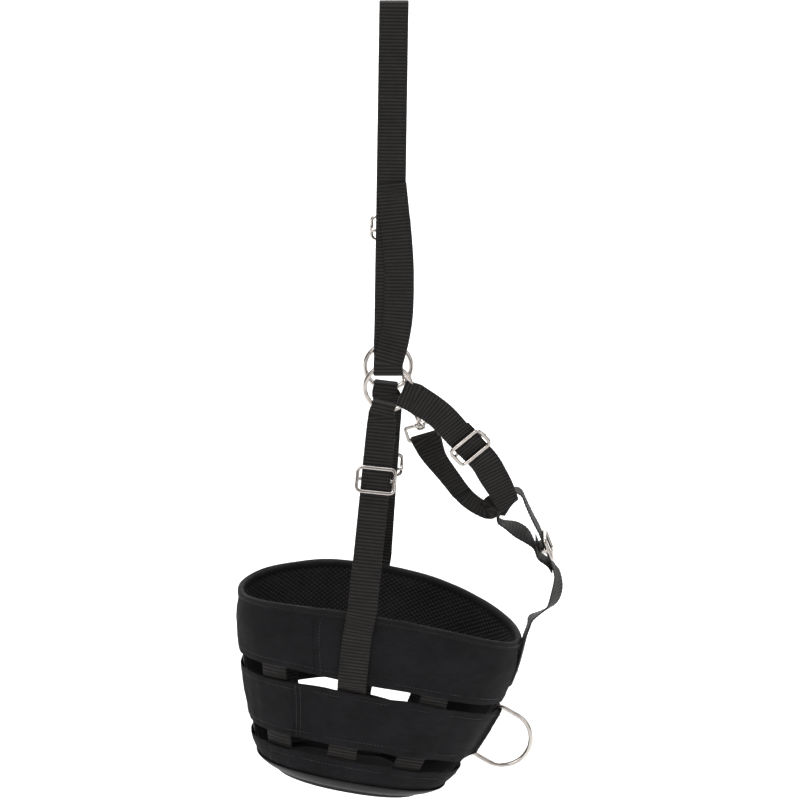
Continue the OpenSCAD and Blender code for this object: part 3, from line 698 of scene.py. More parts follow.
def turn_point(e, f):
    return TURN_MID + flat_dir(60) * e + flat_dir(-30) * f


def tipped(angle, back):
    """A width direction at this angle in the XZ plane, tipped back by this much."""
    return flat_dir(angle) * math.cos(math.radians(back)) - Y * math.sin(math.radians(back))


def throat_stations():
    pull = flat_dir(-22)
    fold = NEAR_RING + pull * fold_at(THROAT_FOLD_W)
    wide, run_wide = flat_dir(68), flat_dir(42)
    back = -unit(np.cross(THROAT_UP, -run_wide)) * STEP
    behind = [
        at(THROAT_MID + THROAT_UP * (RETURN_CLEAR - 4) + back, run_wide),
        at(THROAT_A + back, run_wide),
        at(fold + pull * 9 + Y * LEG, wide, THROAT_FOLD_W + 2),
    ]
    front = [
        at(fold + pull * 9 - Y * LEG, wide),
        at(THROAT_A, run_wide), at(THROAT_MID, run_wide), at(THROAT_B, flat_dir(38)),
        at([84.5, -18.5, -417.5], flat_dir(35)), at([91.6, -15, -431.5], flat_dir(37), 23),
        at(turn_point(3, -1.2) - Y * 9, flat_dir(54), TURN_W + 1),
        at(TURN_MID, flat_dir(60), TURN_W),
        at(turn_point(-3, -1.2) + Y * 9, flat_dir(62), TURN_W + 1),
        at(turn_point(-9, -8) + Y * 14, tipped(60, 18), 20),
        at([79, 18, -460.5], tipped(58, 36), 23), at([62.1, 22.5, -451], tipped(50, 40)),
        at([45.2, 26.5, -430], tipped(40, 38)), at([34.5, 28, -415.5], tipped(33, 28)),
        at(EYE_AT - SNAP_DIR * 6 + X * 2 + Y * 3.4, flat_dir(24), 24),
    ]
    tail = [
        at(EYE_AT - SNAP_DIR * 6 + X * 2 - Y * 3.4, flat_dir(24), 24),
        at([35, 25.2, -416], tipped(33, 28)), at([45.6, 23.3, -430.5], tipped(40, 38)),
        at([58, 20.2, -446.5], tipped(48, 40)),
    ]
    return (curve(behind) + half_turn(fold, Y * LEG, -pull * LEG, wide, THROAT_FOLD_W)
            + curve(front) + half_turn(EYE_AT, Y * 2.6, SNAP_DIR * 2.6, SNAP_WIDE, 23) + curve(tail))


CHIN_MID = np.array([129.5, 0, -486.5])
CHIN_UP = flat_dir(110)
CHIN_OUT = np.cross(CHIN_UP, -Y)


def chin_stations():
    low_wide = unit([-0.1, -0.95, -0.2])
    round_throat = [(1.5, 23, 24), (9.5, 12, 21), (15.6, 4, TURN_W), (15.6, -1.6, TURN_W),
                    (12, -3.6, TURN_W - 2), (0, -3.6, TURN_W - 2), (-12, -3.6, TURN_W - 2),
                    (-15.6, -1.6, TURN_W), (-16, 4, 21)]
    loop = [at(CHIN_MID + CHIN_UP * 15, -Y)]
    loop += [at(turn_point(e, f), -Y, width) for e, f, width in round_throat]
    loop += [at(turn_point(-15, 15), low_wide), at(turn_point(-15.5, 26), low_wide)]
    loop += [at(CHIN_MID + CHIN_UP * up - CHIN_OUT * back, -Y)
             for up, back in ((4, 9), (-6, 8.6), (-15, 3.2), (-22, 2))]
    run = [strap_station(0, 42, STRAP_OVER_BAND + 0.4), strap_station(0, 24, STRAP_OVER_BAND + 0.4),
           strap_station(0, 5, 5.2), at([114.6, 0, -561], -Y)]
    bow = [([117, 0, -553], [0.1, -1, 0.1]), ([125.5, 0, -547], [-0.15, -1, 0.15]),
           ([135, 0, -540], [-0.4, -1, 0.1]), ([139.2, 0, -528], [-0.45, -1, 0]),
           (CHIN_MID - CHIN_UP * 29, [-0.2, -1, 0])]
    run += [at(point, unit(wide)) for point, wide in bow]
    run += [at(CHIN_MID - CHIN_UP * 20, -Y), at(CHIN_MID, -Y)]
    return curve(run) + curve(loop)


# ---------- slides ----------
SLIDE_HALF, BAR_R = 16.4, 1.7
SLIDE_LEN, THROAT_SLIDE_LEN = 24.0, 21.0
MID_R, LOOP_T = 1.4, 1.2
FRONT_BAR = WEB_T / 2 + 0.25 + BAR_R
BACK_BAR = -(WEB_T / 2 + 0.2 + LOOP_T + 0.1 + MID_R)


def slide(name, axes, body, node, length=SLIDE_LEN):
    """A cast slide: a waisted frame in front of the strap and a bar behind it on two bent legs."""
    rail_z = length / 2 - BAR_R
    corners = [[-SLIDE_HALF, FRONT_BAR, -rail_z], [SLIDE_HALF, FRONT_BAR, -rail_z],
               [SLIDE_HALF, FRONT_BAR, rail_z], [-SLIDE_HALF, FRONT_BAR, rail_z]]
    path = rounded_path(corners, 5.2, 12, 12)
    level = np.clip(np.abs(path[:, 2]) / rail_z, 0, 1)
    on_rail = smooth((np.abs(path[:, 0]) - 11.5) / 3)
    path[:, 0] -= np.sign(path[:, 0]) * 0.55 * (1 - level ** 2) * on_rail
    thin = BAR_R - 0.03 - 0.16 * on_rail
    outer = tube(path, Y, thin, BAR_R * 0.94, closed=True, squareness=0.9)
    leg = np.array([[-SLIDE_HALF, FRONT_BAR - 0.6, 0], [-SLIDE_HALF, BACK_BAR, 0],
                    [SLIDE_HALF, BACK_BAR, 0], [SLIDE_HALF, FRONT_BAR - 0.6, 0]])
    bent = open_path(leg, 2.4)
    inner = tube(bent, Z, MID_R - 0.02, MID_R - 0.02)
    lugs = [rounded_box((2.3, 2.8, 5.4), (s * (SLIDE_HALF - 0.1), FRONT_BAR - 0.5, 0), 1.0) for s in (-1, 1)]
    metal(name, [outer, inner] + lugs, axes, body, node)


def open_path(corners, radius, steps=10, edge=6):
    """A path through corners, straight at its two ends and turned at those between."""
    out = [corners[0]]
    for before, here, after in zip(corners, corners[1:], corners[2:]):
        a = here + unit(before - here) * radius
        b = here + unit(after - here) * radius
        out += [out[-1] + (a - out[-1]) * k for k in np.arange(1, edge) / edge]
        out += [(1 - k) ** 2 * a + 2 * k * (1 - k) * here + k * k * b for k in np.linspace(0, 1, steps)]
    out += [out[-1] + (corners[-1] - out[-1]) * k for k in np.arange(1, edge + 1) / edge]
    return np.array(out)


def slide_loop(name, axes, tongue, body, node):
    """The sewn end of the webbing: round the middle bar and back up behind the strap."""
    r = MID_R + 0.1 + LOOP_T / 2
    turns = np.radians(np.arange(0, 331, 6))
    loop = [[0, BACK_BAR + r * math.cos(a - math.pi), r * math.sin(a - math.pi)] for a in turns]
    rise = [[0, BACK_BAR - r, tongue * k] for k in (1.0, 0.75, 0.5, 0.25, 0.05)]
    local = np.array(rise + loop)
    stations = [at(p, axes[1][0]) for p in moved(local, axes)]
    webbing(name, stations, node, body, rib=0.26, thick=LOOP_T)


# ---------- the snap, rings and dee ----------
HOOK_R = 7.0
DEE_OUT = WEB_T + GAP + WIRE_R + 0.5
DEE_RISE = 1.1


def rings():
    for name, centre, turned in (("near_ring", NEAR_RING, 118.0), ("far_ring", FAR_RING, -60.0)):
        a = np.radians(np.arange(0, 360, 2.0))
        path = centre + RING_R * np.stack([np.cos(a), 0 * a, np.sin(a)], 1)
        off = np.degrees(np.abs((a - math.radians(turned) + np.pi) % (2 * np.pi) - np.pi))
        weld = 0.16 * hump(off, 3.2) - 0.3 * hump(off, 1.2)
        metal(name + "_wire", [tube(path, Y, WIRE_R + weld, WIRE_R + weld, closed=True)], None,
              name + "_body", name)


def chin_dee():
    top = in_place(wall(0, sleeve_level(MIDDLE_TOP, 1.0), DEE_OUT))
    foot = in_place(wall(0, sleeve_level(MIDDLE_FOOT, 1.0), DEE_OUT))
    bar = unit(top - foot)
    half, reach, bend = 24.3, 41.5, 5.0
    arm = reach - half
    quarter = np.radians(np.arange(0, 91, 10))
    path = [[0, 0, z] for z in np.linspace(-half + bend, half - bend, 24)]
    path += [[bend - bend * math.cos(a), 0, half - bend + bend * math.sin(a)] for a in quarter]
    path += [[x, 0, half] for x in np.linspace(bend + 1.5, arm - 1.5, 6)]
    around = np.radians(np.arange(90, -91, -4))
    path += [[arm + half * math.cos(a), 0, half * math.sin(a)] for a in around]
    path += [[x, 0, -half] for x in np.linspace(arm - 1.5, bend + 1.5, 6)]
    path += [[bend - bend * math.cos(a), 0, -half + bend - bend * math.sin(a)] for a in quarter[::-1]]
    path = without_repeats(np.array(path))
    axes = axes_on_strap((top + foot) / 2 + bar * DEE_RISE, np.cross(bar, -Y), bar)
    wire = tube(path, Y, WIRE_R, WIRE_R, closed=True, sides=32)
    metal("dee_wire", [wire], axes, "chin_dee_body", "chin_dee")


def snap():
    axes = axes_on_strap(HOOK_MID, SNAP_WIDE, SNAP_DIR)
    up = [[0, -HOOK_R, z] for z in np.linspace(-13, -0.5, 12)]
    over = [[0, -HOOK_R * math.cos(a), HOOK_R * math.sin(a)] for a in np.radians(np.arange(0, 181, 6))]
    down = [[0, HOOK_R, z] for z in (-0.8, -1.6, -2.1, -2.4, -2.5)]
    path = np.array(up + over + down)
    along = np.arange(len(path)) / len(path)
    wire = 2.25 - 0.3 * smooth(along / 0.8)
    wire[-4:] *= np.array([0.98, 0.9, 0.72, 0.45])
    wire_across = wire * (1 + 0.12 * np.sin(np.pi * np.clip(along * 1.2, 0, 1)))
    hook = tube(path, X, wire, wire_across)
    turns = np.radians(np.arange(0, 360, 7.5))
    points, faces = [], []
    shells = ((3.55, -29.0, -11.6, HOOK_R, True), (2.7, -28.0, -12.4, -HOOK_R, False))
    for shape, z0, z1, centre, slot in shells:
        levels = np.linspace(z0, z1, 34)
        k = (levels - z0) / (z1 - z0)
        r = shape * (1 - 0.30 * (1 - smooth(k / 0.10)) - 0.26 * (1 - smooth((1 - k) / 0.12)))
        p = np.stack([r[:, None] * np.cos(turns), centre + r[:, None] * np.sin(turns),
                      np.repeat(levels[:, None], len(turns), 1)], -1)
        quads = grid_faces(len(levels), len(turns), close_columns=True)
        if slot:
            open_to = [abs(math.degrees(turns[q[0] % len(turns)]) - 176.0) < 20
                       and -27 < levels[q[0] // len(turns)] < -14.6 for q in quads]
            quads = [q for q, cut in zip(quads, open_to) if not cut]
        faces += [[i + sum(len(g) for g in points) for i in q] for q in quads]
        points.append(p.reshape(-1, 3))
    barrels = (np.concatenate(points), faces)
    bore = [[0.1, -27.2], [2.5, -27.2], [2.5, -14.0], [1.9, -13.6], [1.9, -11.9], [2.4, -11.7]]
    liner, walls = shifted(lathe(bore, 32), [0, HOOK_R, 0])
    middles = [(f, liner[f].mean(0)) for f in walls[:-2]]
    keep = [f for f, m in middles if not (m[0] < -1.8 and -27 < m[2] < -14)]
    web = rounded_box((5.2, 13.2, 16.2), (0, -0.4, -20.4), 1.7)
    shoulder = rounded_box((6.4, 10.0, 4.2), (0, -0.2, -27.0), 1.6)
    stem = lathe([[2.2, -44.4], [3.4, -44.4], [3.75, -43.7], [3.6, -42.9], [2.2, -42.6], [2.15, -35.0],
                  [2.7, -31.0], [3.9, -29.4], [4.2, -28.4]])
    metal("snap_hook", [hook, barrels, (liner, keep), web, shoulder, stem], axes, "snap", "snap_body")
    pin = lathe([[1.2, -16.0], [2.25, -15.8], [2.25, -14.4], [1.7, -14.2], [1.7, -3.2], [1.45, -2.75],
                 [0.9, -2.7]])
    metal("snap_pin", [shifted(pin, [0, HOOK_R, 0])], axes, "snap_bolt_body", "snap_bolt")
    stud = lathe([[0.85, -0.5], [0.85, 2.0], [1.7, 2.2], [2.05, 2.7], [2.0, 3.3], [1.5, 3.75], [0.4, 3.85]])
    turned = np.stack([-stud[0][:, 2], stud[0][:, 1], stud[0][:, 0]], 1)
    metal("snap_stud", [shifted((turned, stud[1]), [-2.3, HOOK_R, -15.1])], axes, "snap_bolt_body",
          "snap_thumb_stud")
    coil = np.radians(np.arange(0, 360 * 7.5, 15))
    helix = np.stack([1.7 * np.cos(coil), HOOK_R + 1.7 * np.sin(coil), -26.4 + coil / (2 * np.pi) * 1.3], 1)
    metal("snap_coil", [helix_tube(helix, 0.38)], axes, "snap", "snap_spring")
    corners = [[-13.4, 0, EYE_BAR], [13.4, 0, EYE_BAR], [13.4, 0, -39.8], [-13.4, 0, -39.8]]
    eye = rounded_path(corners, 2.4, 8, 10)
    swivel = lathe([[2.3, -42.6], [4.3, -42.5], [4.7, -41.6], [4.7, -38.9], [4.2, -38.0], [2.3, -37.9]])
    metal("snap_swivel_eye", [tube(eye, Y, 1.45, 2.1, closed=True, squareness=0.55), swivel], axes,
          "basket", "snap_eye")


def helix_tube(path, r, sides=8):
    along = frames(path)
    side = np.cross(along, Z)
    side /= np.linalg.norm(side, axis=1, keepdims=True)
    other = np.cross(along, side)
    turn = 2 * np.pi * np.arange(sides) / sides
    ring = np.cos(turn)[None, :, None] * side[:, None] + np.sin(turn)[None, :, None] * other[:, None]
    return (path[:, None] + r * ring).reshape(-1, 3), grid_faces(len(path), sides, close_columns=True)


# ---------- the basket ----------
def foot_rise(t):
    """The rim's foot rises a little round the nose end."""
    return 3.6 * smooth((np.abs(away(t, 0)) - 96) / 40)


def near_chin(t):
    return smooth((9 - np.abs(away(t, 0))) / 5)


def sleeve_level(d, share):
    """The middle band is a tenth shorter where it sleeves the dee's bar."""
    return d - 0.1 * share * (d - MIDDLE_MID)


def round_grid(d, count):
    """Angles at even distances round the wall at level d, and those distances in millimetres."""
    fine = np.linspace(-180, 180, 3601)
    run = distances(wall(fine, d, 0))
    want = run[-1] * np.arange(count) / count
    return np.interp(want, run, fine), want


def waves(a, b, seed, sizes, count=7):
    """Gentle creases: a sum of slow waves over two distances in millimetres."""
    chance = np.random.default_rng(seed)
    total = np.zeros(np.broadcast(a, b).shape)
    for _ in range(count):
        size = chance.uniform(*sizes)
        lean = chance.uniform(0, 2 * np.pi)
        phase = chance.uniform(0, 2 * np.pi)
        total += np.sin(2 * np.pi * (a * math.cos(lean) + b * math.sin(lean)) / size + phase)
    return total / math.sqrt(count)


def away(t, place):
    """Degrees from t round to place, between -180 and 180."""
    return (t - place + 180) % 360 - 180


def backed(t, d, places):
    """1 where webbing lies behind the cloth, easing to 0 between one upright and the next."""
    most = np.zeros(np.broadcast(t, d).shape)
    for place in places:
        distance = np.abs(away(t, place)) * wall_span(place, 90.0)
        most = np.maximum(most, smooth((23 - distance) / 10))
    return most


BEHIND = list(UPRIGHTS.values()) + [NEAR_CHEEK_AT, FAR_CHEEK_AT]


def seam_step(mm, lift, spread):
    """Cloth lapped over itself: a sharp edge with a groove before it that eases away behind."""
    over = np.where(mm > 0, np.exp(-np.maximum(mm, 0) / spread), 0.0) * smooth(mm / 0.8)
    return lift * over - 0.8 * hump(mm + 0.4, 0.9)


def cloth_band(name, node, top, foot, count, levels, outside, edge_wave, sleeve=0.0, rise=0.0):
    """A band round the basket with rounded edges. outside(t, d, run) gives its outer face."""
    middle = (top + foot) / 2
    t, run = round_grid(middle, count)
    shares = np.linspace(0, 1, levels)
    turn = np.linspace(0, np.pi, 6)[1:-1]
    half = CLOTH_T / 2
    rows = [(s, 0.0, 0.0) for s in shares]
    rows += [(1.0, half * math.sin(a), half * (1 - math.cos(a))) for a in turn]
    rows += [(s, 0.0, CLOTH_T) for s in shares[::-1]]
    rows += [(0.0, -half * math.sin(a), CLOTH_T - half * (1 - math.cos(a))) for a in turn]
    share, past, depth = [np.array(v)[:, None] for v in zip(*rows)]
    upper = top + edge_wave * waves(run, 0.0, len(name), (28, 90), 5)
    lower = foot + edge_wave * waves(run, 0.0, len(name) + 9, (28, 90), 5) - rise * foot_rise(t)
    d = upper * (1 - share) + lower * share + past
    out = outside(t[None, :], d, run[None, :]) - depth
    level = sleeve_level(d, sleeve * near_chin(t)[None, :])
    points = in_place(wall(t[None, :], level, out))
    uv = np.stack([np.broadcast_to(run, d.shape), d], -1)
    made = ring_piece(name, points, "fabric", uv)
    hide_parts(node)


def hem(d, top, foot):
    """A turned edge is a little thicker, and drawn in along its row of sewing."""
    edge = np.minimum(d - top, foot - d)
    return 0.28 * (1 - smooth((edge - 6.0) / 1.2)) - 0.26 * hump(edge - HEM, 0.8)


def rim_surface(t, d, run):
    out = 1.6 + (BAND_OUT - 1.6) * smooth((d - 8) / 20)
    held = backed(t, d, list(UPRIGHTS.values()))
    slack = smooth((d - 22) / 25)
    out = out - 0.95 * (1 - held) * slack
    out = out + (0.26 + 0.25 * slack) * waves(run, d, 3, (24, 85), 9) * smooth((d - 6) / 10)
    out = out + 0.10 * waves(run, d, 31, (7, 16), 6) * smooth((d - 6) / 10)
    seam = seam_step(away(t, RIM_SEAM) * wall_span(RIM_SEAM, 30.0) - 0.10 * (d - 30), 0.8, 6.0)
    below_bind = smooth((d - 7.5) / 1.0)
    return out + seam * below_bind + hem(d, -30.0, RIM_FOOT - foot_rise(t)) * smooth((d - 20) / 10)


def middle_surface(t, d, run):
    held = backed(t, d, BEHIND)
    out = BAND_OUT + 4.3 * near_chin(t) - 1.05 * (1 - held)
    out = out + 0.55 * waves(run, d, 5, (18, 70), 9) + 0.12 * waves(run, d, 51, (6, 14), 6)
    seam = seam_step(away(t, MIDDLE_SEAM) * wall_span(MIDDLE_SEAM, 90.0), 0.55, 5.0)
    return out + seam + hem(d, MIDDLE_TOP, MIDDLE_FOOT)


def lower_surface(t, d, run):
    held = backed(t, d, BEHIND)
    out = BAND_OUT - 0.7 * (1 - held) * smooth((141 - d) / 5)
    out = out + 0.34 * waves(run, d, 7, (16, 60), 9) * smooth((142 - d) / 8)
    seam = seam_step(away(t, LOWER_SEAM) * wall_span(LOWER_SEAM, 132.0) + 0.35 * (d - 134), 0.6, 5.0)
    return out + (seam + hem(d, LOWER_TOP, 200.0)) * smooth((142 - d) / 6)


def wall_rows(t0, d0, d1):
    """Levels at even distances down the wall at angle t0, and those distances."""
    fine = np.linspace(d0, d1, 900)
    run = distances(wall(t0, fine, WEB_T / 2))
    want = np.arange(0, run[-1], ROW_STEP)
    return np.interp(want, run, fine), want


def upright(name, t0, seed):
    """Webbing that lies on the wall and bends with it, both down it and across."""
    d, run = wall_rows(t0, 30.0, 145.0)
    height = ribs(run + 0.7 * seed)[:, None]
    half = WEB_W / 2 + 0.28 * (height - 0.8)
    top = ACROSS[None, :] * half
    lift = FULLNESS * (WEB_T / 2 - 0.12) + 0.52 * FULLNESS * (height - 0.62)
    lift[:, [0, -1]] = 0
    span = np.array([wall_span(t0, level) for level in d])[:, None]
    t = t0 + top / span
    upper = in_place(wall(t, d[:, None], WEB_T / 2 + lift))
    lower = in_place(wall(t, d[:, None], WEB_T / 2 - lift))
    made = ribbon("web_" + name, upper, lower, top, run, "upright", "basket")
    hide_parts("upright_" + name)


def lining():
    """Soft padding inside the rim, with a diamond net of small dimples."""
    def relief(d, run):
        one = np.sin(2 * np.pi * (run + NET_LEAN * d) / NET_PITCH)
        two = np.sin(2 * np.pi * (run - NET_LEAN * d) / NET_PITCH)
        net = smooth((one + two + 0.9) / 2.2)
        fall = smooth((d - 8) / 3) * smooth((RIM_FOOT - 1 - d) / 2)
        return net * fall

    t, run = round_grid(20.0, 1000)
    levels = np.linspace(0.6, RIM_FOOT - 0.3, 84)
    d = levels[:, None] + 0 * t
    swell = 0.5 * np.sin(np.pi * (d - 6) / 52) + 0.35 * waves(run[None, :], d, 13, (30, 90), 8)
    trim = 1 - foot_rise(t) / RIM_FOOT
    back = np.array([[RIM_FOOT], [RIM_FOOT - 1], [1.0], [0.3]]) + 0 * t
    inner = in_place(wall(t, d * trim, -2.35 - swell - 0.75 * relief(d, run)))
    outer = in_place(wall(t, back * trim, -0.75))
    points = np.concatenate([inner, outer])
    d_all = np.concatenate([d, back])
    uv = np.stack([np.broadcast_to(run, d_all.shape), d_all], -1)
    made = ring_piece("rim_padding", points, "lining", uv)
    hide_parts("rim_lining")


def binding():
    """Tape folded over the rim's edge, drawn in a little at each stitch."""
    t, run = round_grid(0.0, 1500)
    path = [(4.6, -3.25), (3.4, -3.4), (1.8, -3.35), (0.4, -3.05), (-0.5, -2.5), (-1.05, -1.5), (-1.25, -0.5),
            (-1.1, 0.5), (-0.6, 1.35), (0.3, 2.0), (1.5, 2.25), (2.6, 2.08), (3.7, 2.28), (4.4, 2.22)]
    back = [(4.7, 2.0), (4.5, 1.8), (3.0, 1.75), (1.2, 1.6), (0.3, 1.0), (0.0, -0.4), (0.2, -1.8),
            (1.2, -2.65), (3.0, -2.75), (4.5, -2.8), (4.8, -3.0)]
    section = np.array(path + back)
    d, out = section[:, :1], section[:, 1:]
    outward = np.sign(out + 0.5) * smooth((d + 0.5) / 2.5) * (np.arange(len(section)) < len(path))[:, None]
    pucker = 0.13 * np.cos(2 * np.pi * run / 3.1) * hump(d - BINDING_SEWN_AT, 1.1)
    sway = 0.15 * waves(run, 0.0, 17, (14, 60), 6) * smooth((d + 1) / 6)
    d = d + 0.30 * waves(run, 0.0, 19, (20, 80), 6) * (out > -1)
    points = in_place(wall(t, d, out + outward * (pucker + np.maximum(sway, -0.3))))
    uv = np.stack([np.broadcast_to(run, d.shape), np.broadcast_to(2 * section[:, :1] + out, d.shape)], -1)
    made = ring_piece("rim_tape", points, "binding", uv)
    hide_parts("rim_binding")


def base():
    """The rubber base: a rounded lip outside the cloth, a floor and the grazing hole."""
    lip, floor_top, floor_foot = BAND_OUT + 0.5, DEPTH + 0.6, DEPTH + 4.0
    outside = [(139.2, 0.3), (138.95, 1.0), (139.3, 1.8), (140.2, 2.15), (141.2, 2.0), (142.5, 1.9),
               (144.5, 1.95), (146.5, 1.95), (148.2, 1.95), (149.6, 1.75), (150.8, 1.1), (151.7, -0.2),
               (floor_foot, -2.5)]
    inside = [(floor_top, -2.0), (148.0, -0.4), (146.5, 0), (144.0, 0), (141.5, 0)]
    section = [(d, lip + past, 0) for d, past in outside]
    section += [(floor_foot, 0, s) for s in (0.2, 0.35, 0.5, 0.65, 0.8, 0.9, 0.95)]
    section += [(floor_foot, 0, 0.985), (floor_foot - 0.5, 0, 1.0), (floor_foot - 1.7, 0, 1.005),
                (floor_top + 0.5, 0, 1.0), (floor_top, 0, 0.98)]
    section += [(floor_top, 0, s) for s in (0.9, 0.7, 0.5, 0.3)]
    section += [(d, lip + past, 0) for d, past in inside]
    t = np.linspace(-180, 180, 481)[:-1]
    t = t - 24 * np.sin(np.radians(t))
    d, out, share = [np.array(v, float)[:, None] for v in zip(*section)]
    ridges = np.array([0.35 if 13 <= i <= 19 else 0.0 for i in range(len(section))])[:, None]
    d = d - ridges * (0.5 + 0.5 * np.cos(np.radians(t) * 36))
    points = in_place(wall(t, d, out, share))
    made = ring_piece("rubber_base", points, "rubber")
    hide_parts("base_pad")


def off_wall(t, level, out):
    """Points on the wall this far out, and the direction straight out at each."""
    p = in_place(wall(t, level, out))
    q = in_place(wall(t, level, out + 1.0))
    return p, (q - p) / np.linalg.norm(q - p, axis=1, keepdims=True)


def sewing_row(surface, d, rise=0.0, sleeve=0.0):
    t = np.linspace(-180, 180, 721)
    run = np.interp(t, *round_grid(d, 720))
    level = d - rise * foot_rise(t)
    out = surface(t, level, run)
    level = sleeve_level(level, sleeve * near_chin(t))
    return off_wall(t, level, out + 0.08)


def down_row(surface, t0, d0, d1, shift_mm, lean=0.0):
    d = np.linspace(d0, d1, 60)
    t = t0 + (shift_mm + lean * (d - d0)) / wall_span(t0, (d0 + d1) / 2)
    run = np.full_like(d, np.interp(t0, *round_grid((d0 + d1) / 2, 720)))
    return off_wall(t, d, surface(t, d, run) + 0.05)


def tack_rows(station, out):
    """Four close zigzag rows of sewing across a strap, a little proud of its ribs."""
    s = np.asarray(station)
    w, n = unit(s[3:6]), unit(np.asarray(out, float))
    n = unit(n - np.dot(n, w) * w)
    down = np.cross(w, n)
    made = []
    x = np.linspace(-10.4, 10.4, 40)
    swing = np.sin(np.pi * x)
    zig = 0.55 * np.sign(swing) * np.abs(swing) ** 0.5
    for row in (-4.2, -1.4, 1.4, 4.2):
        p = s[:3] + w * x[:, None] + down * (row + zig)[:, None] + n * (WEB_T / 2 + 0.1)
        made.append((p, np.repeat(n[None], len(x), 0)))
    return made


# ---------- putting it together ----------
def straps_and_slides():
    webbing("crown_webbing", crown_stations(), "crown_strap", "crown")
    webbing("near_cheek_webbing", cheek_stations(-1, NEAR_SLIDE_AT + RETURN_CLEAR), "near_cheek_strap")
    webbing("far_cheek_webbing", cheek_stations(1, FAR_SLIDE_AT + RETURN_CLEAR), "far_cheek_strap")
    webbing("throat_webbing", throat_stations(), "throat_strap")
    webbing("chin_webbing", chin_stations(), "chin_strap", cup=1.9, soft=2.6)
    near_foot, _, near_up, _ = cheek_places(-1)
    far_foot, _, far_up, _ = cheek_places(1)
    crown_down = unit(crown_line(-240, 1, 1)[:3] - crown_line(-180, 1, 1)[:3])
    places = {
        "near_cheek": (axes_on_strap(near_foot + near_up * NEAR_SLIDE_AT, -X, near_up), 36),
        "far_cheek": (axes_on_strap(far_foot + far_up * FAR_SLIDE_AT, X, far_up), 36),
        "crown": (axes_on_strap(crown_line(CROWN_SLIDE_AT, 1, 1)[:3], -X, crown_down), 36),
        "throat": (axes_on_strap(THROAT_MID - THROAT_UP * 12, -flat_dir(42), THROAT_UP), 16),
        "chin": (axes_on_strap(CHIN_MID, -Y, CHIN_UP), 9),
    }
    for name, (axes, tongue) in places.items():
        length = THROAT_SLIDE_LEN if name == "throat" else SLIDE_LEN
        slide(name + "_slide_metal", axes, name + "_slide_body", name + "_slide", length)
        slide_loop(name + "_slide_webbing", axes, tongue, name + "_slide_body", name + "_slide_loop")


def basket():
    cloth_band("rim_cloth", "rim_band", 0.0, RIM_FOOT, 760, 44, rim_surface, 0.25, rise=1.0)
    cloth_band("middle_cloth", "middle_band", MIDDLE_TOP, MIDDLE_FOOT, 760, 38, middle_surface, 0.45, 1.0)
    cloth_band("lower_cloth", "lower_band", LOWER_TOP, LOWER_FOOT, 720, 30, lower_surface, 0.3)
    for i, (name, t) in enumerate(UPRIGHTS.items()):
        upright(name, t, i)
    lining()
    binding()
    base()
    rows = [sewing_row(rim_surface, RIM_FOOT - HEM, rise=1.0),
            sewing_row(middle_surface, MIDDLE_TOP + HEM, sleeve=1.0),
            sewing_row(middle_surface, MIDDLE_FOOT - HEM, sleeve=1.0),
            sewing_row(lower_surface, LOWER_TOP + HEM),
            down_row(rim_surface, RIM_SEAM, 9, RIM_FOOT - 1, 2.6, 0.10)]
    rows += [down_row(middle_surface, MIDDLE_SEAM, MIDDLE_TOP + 1, MIDDLE_FOOT - 1, mm) for mm in (2.2, 5.6)]
    rows += [down_row(lower_surface, LOWER_SEAM, LOWER_TOP + 1, 141, mm, -0.35) for mm in (2.2, 5.4)]
    stitches("band_sewing", rows, "basket")
    edge = sewing_row(lambda t, d, run: 2.12 + 0 * t, BINDING_SEWN_AT)
    stitches("binding_sewing", [edge], "basket", 2.2, 3.1, 0.26)


def sewing_on_straps():
    basket_rows = (tack_rows(wall_station(NEAR_CHEEK_AT, 8, 4.35), -Y)
                   + tack_rows(wall_station(FAR_CHEEK_AT, 8, 4.35), Y)
                   + tack_rows(wall_station(0, 32, STRAP_OVER_BAND + 1.3), X))
    stitches("basket_tack_sewing", basket_rows, "basket", 1.15, 1.0, 0.24, "basket_bar_tacks")
    crown_rows = tack_rows(crown_line(-166, -1, 1) + at(X * 1.5, [0, 0, 0], 0), -Y)
    stitches("crown_tack_sewing", crown_rows, "crown", 1.15, 1.0, 0.24, "crown_bar_tack")


# ---------- the studio ----------
def studio():
    floor_z, back_y = -0.80, 2.6
    steps = np.radians(np.arange(0, 91, 10))
    bend = [[back_y + 0.5 * math.sin(a), floor_z + 0.5 * (1 - math.cos(a))] for a in steps]
    side = [[-4.0, floor_z]] + bend + [[back_y + 0.5, 3.5]]
    points = [[x, y, z] for y, z in side for x in (-5.0, 5.0)]
    mesh = bpy.data.meshes.new("sweep")
    mesh.from_pydata(points, [], [[2 * i, 2 * i + 1, 2 * i + 3, 2 * i + 2] for i in range(len(side) - 1)])
    mesh.polygons.foreach_set("use_smooth", [True] * len(mesh.polygons))
    sweep = bpy.data.objects.new("sweep", mesh)
    bpy.context.collection.objects.link(sweep)
    pale, _, _ = new_material("pale_floor", {"Roughness": 0.9, "Base Color": (0.93, 0.93, 0.93, 1)})
    mesh.materials.append(pale)


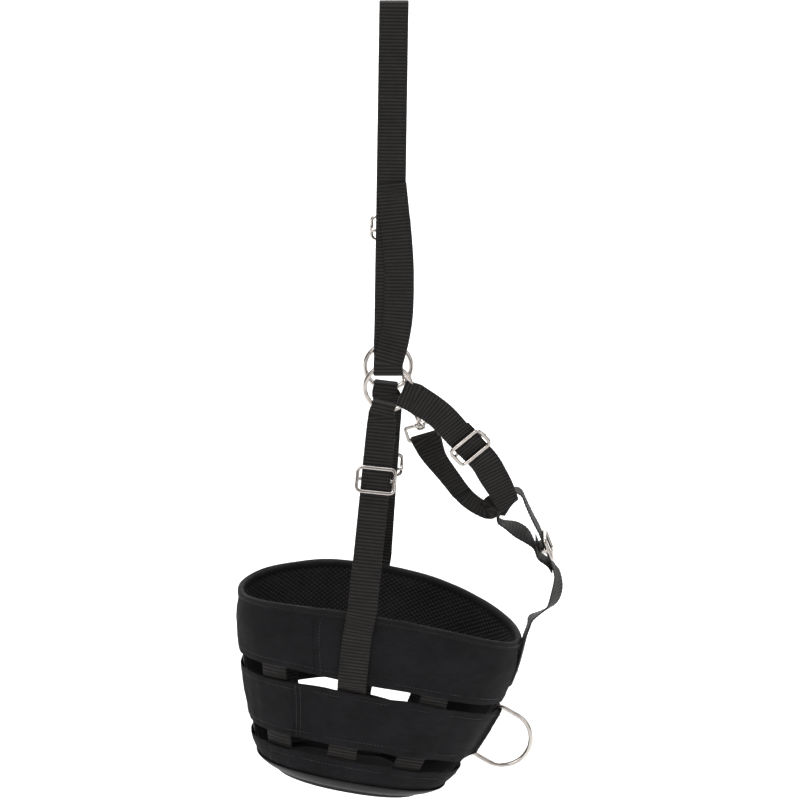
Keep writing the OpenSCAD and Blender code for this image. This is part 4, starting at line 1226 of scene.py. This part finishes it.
def lamp(name, place, aim, size, power):
    data = bpy.data.lights.new(name, "AREA")
    data.shape = "RECTANGLE"
    data.size, data.size_y = size
    data.energy = power
    made = bpy.data.objects.new(name, data)
    bpy.context.collection.objects.link(made)
    made.location = place
    made.rotation_euler = (Vector(aim) - Vector(place)).to_track_quat("-Z", "Y").to_euler()


def lights():
    world = bpy.data.worlds.new("room")
    bpy.context.scene.world = world
    world.use_nodes = True
    shade = world.node_tree.nodes["Background"]
    direction = add(world.node_tree, "TexCoord").outputs["Generated"]
    height = add(world.node_tree, "SeparateXYZ", {0: direction}).outputs["Z"]
    rise = maths(world.node_tree, "MULTIPLY_ADD", height, 0.5)
    world.node_tree.links.new(
        ramp(world.node_tree, rise, (0.0, (0.50, 0.47, 0.45)), (0.42, (0.16, 0.15, 0.145)),
             (0.58, (0.30, 0.29, 0.28)), (1.0, (1.0, 1.0, 1.0))), shade.inputs["Color"])
    shade.inputs["Strength"].default_value = 0.6
    middle = (0, 0, -0.4)
    lamp("key", (-1.5, -2.3, 1.3), middle, (1.4, 1.4), 44)
    lamp("fill", (2.1, -1.7, 0.3), middle, (1.2, 1.6), 16)
    lamp("top", (0.1, 0.3, 1.7), middle, (1.6, 1.2), 20)
    lamp("backdrop", (0.0, 0.9, 2.4), (0, 3.0, 0.2), (3.0, 1.0), 150)


def camera():
    data = bpy.data.cameras.new("camera")
    made = bpy.data.objects.new("camera", data)
    bpy.context.collection.objects.link(made)
    data.lens = 1200.0
    data.sensor_width = 36.0
    distance = 0.680 * data.lens / data.sensor_width
    rise = math.radians(18.0)
    back = Vector((0, -math.cos(rise), math.sin(rise)))
    up = Vector((0, math.sin(rise), math.cos(rise)))
    centre = Vector((0.0051, 0, 0)) - up * 0.3383
    made.location = centre + back * distance
    made.rotation_euler = (-back).to_track_quat("-Z", "Y").to_euler()
    data.clip_end = 100.0
    bpy.context.scene.camera = made
    bpy.context.scene.view_settings.view_transform = "Standard"


camera()
straps_and_slides()
rings()
chin_dee()
snap()
basket()
sewing_on_straps()
studio()
lights()
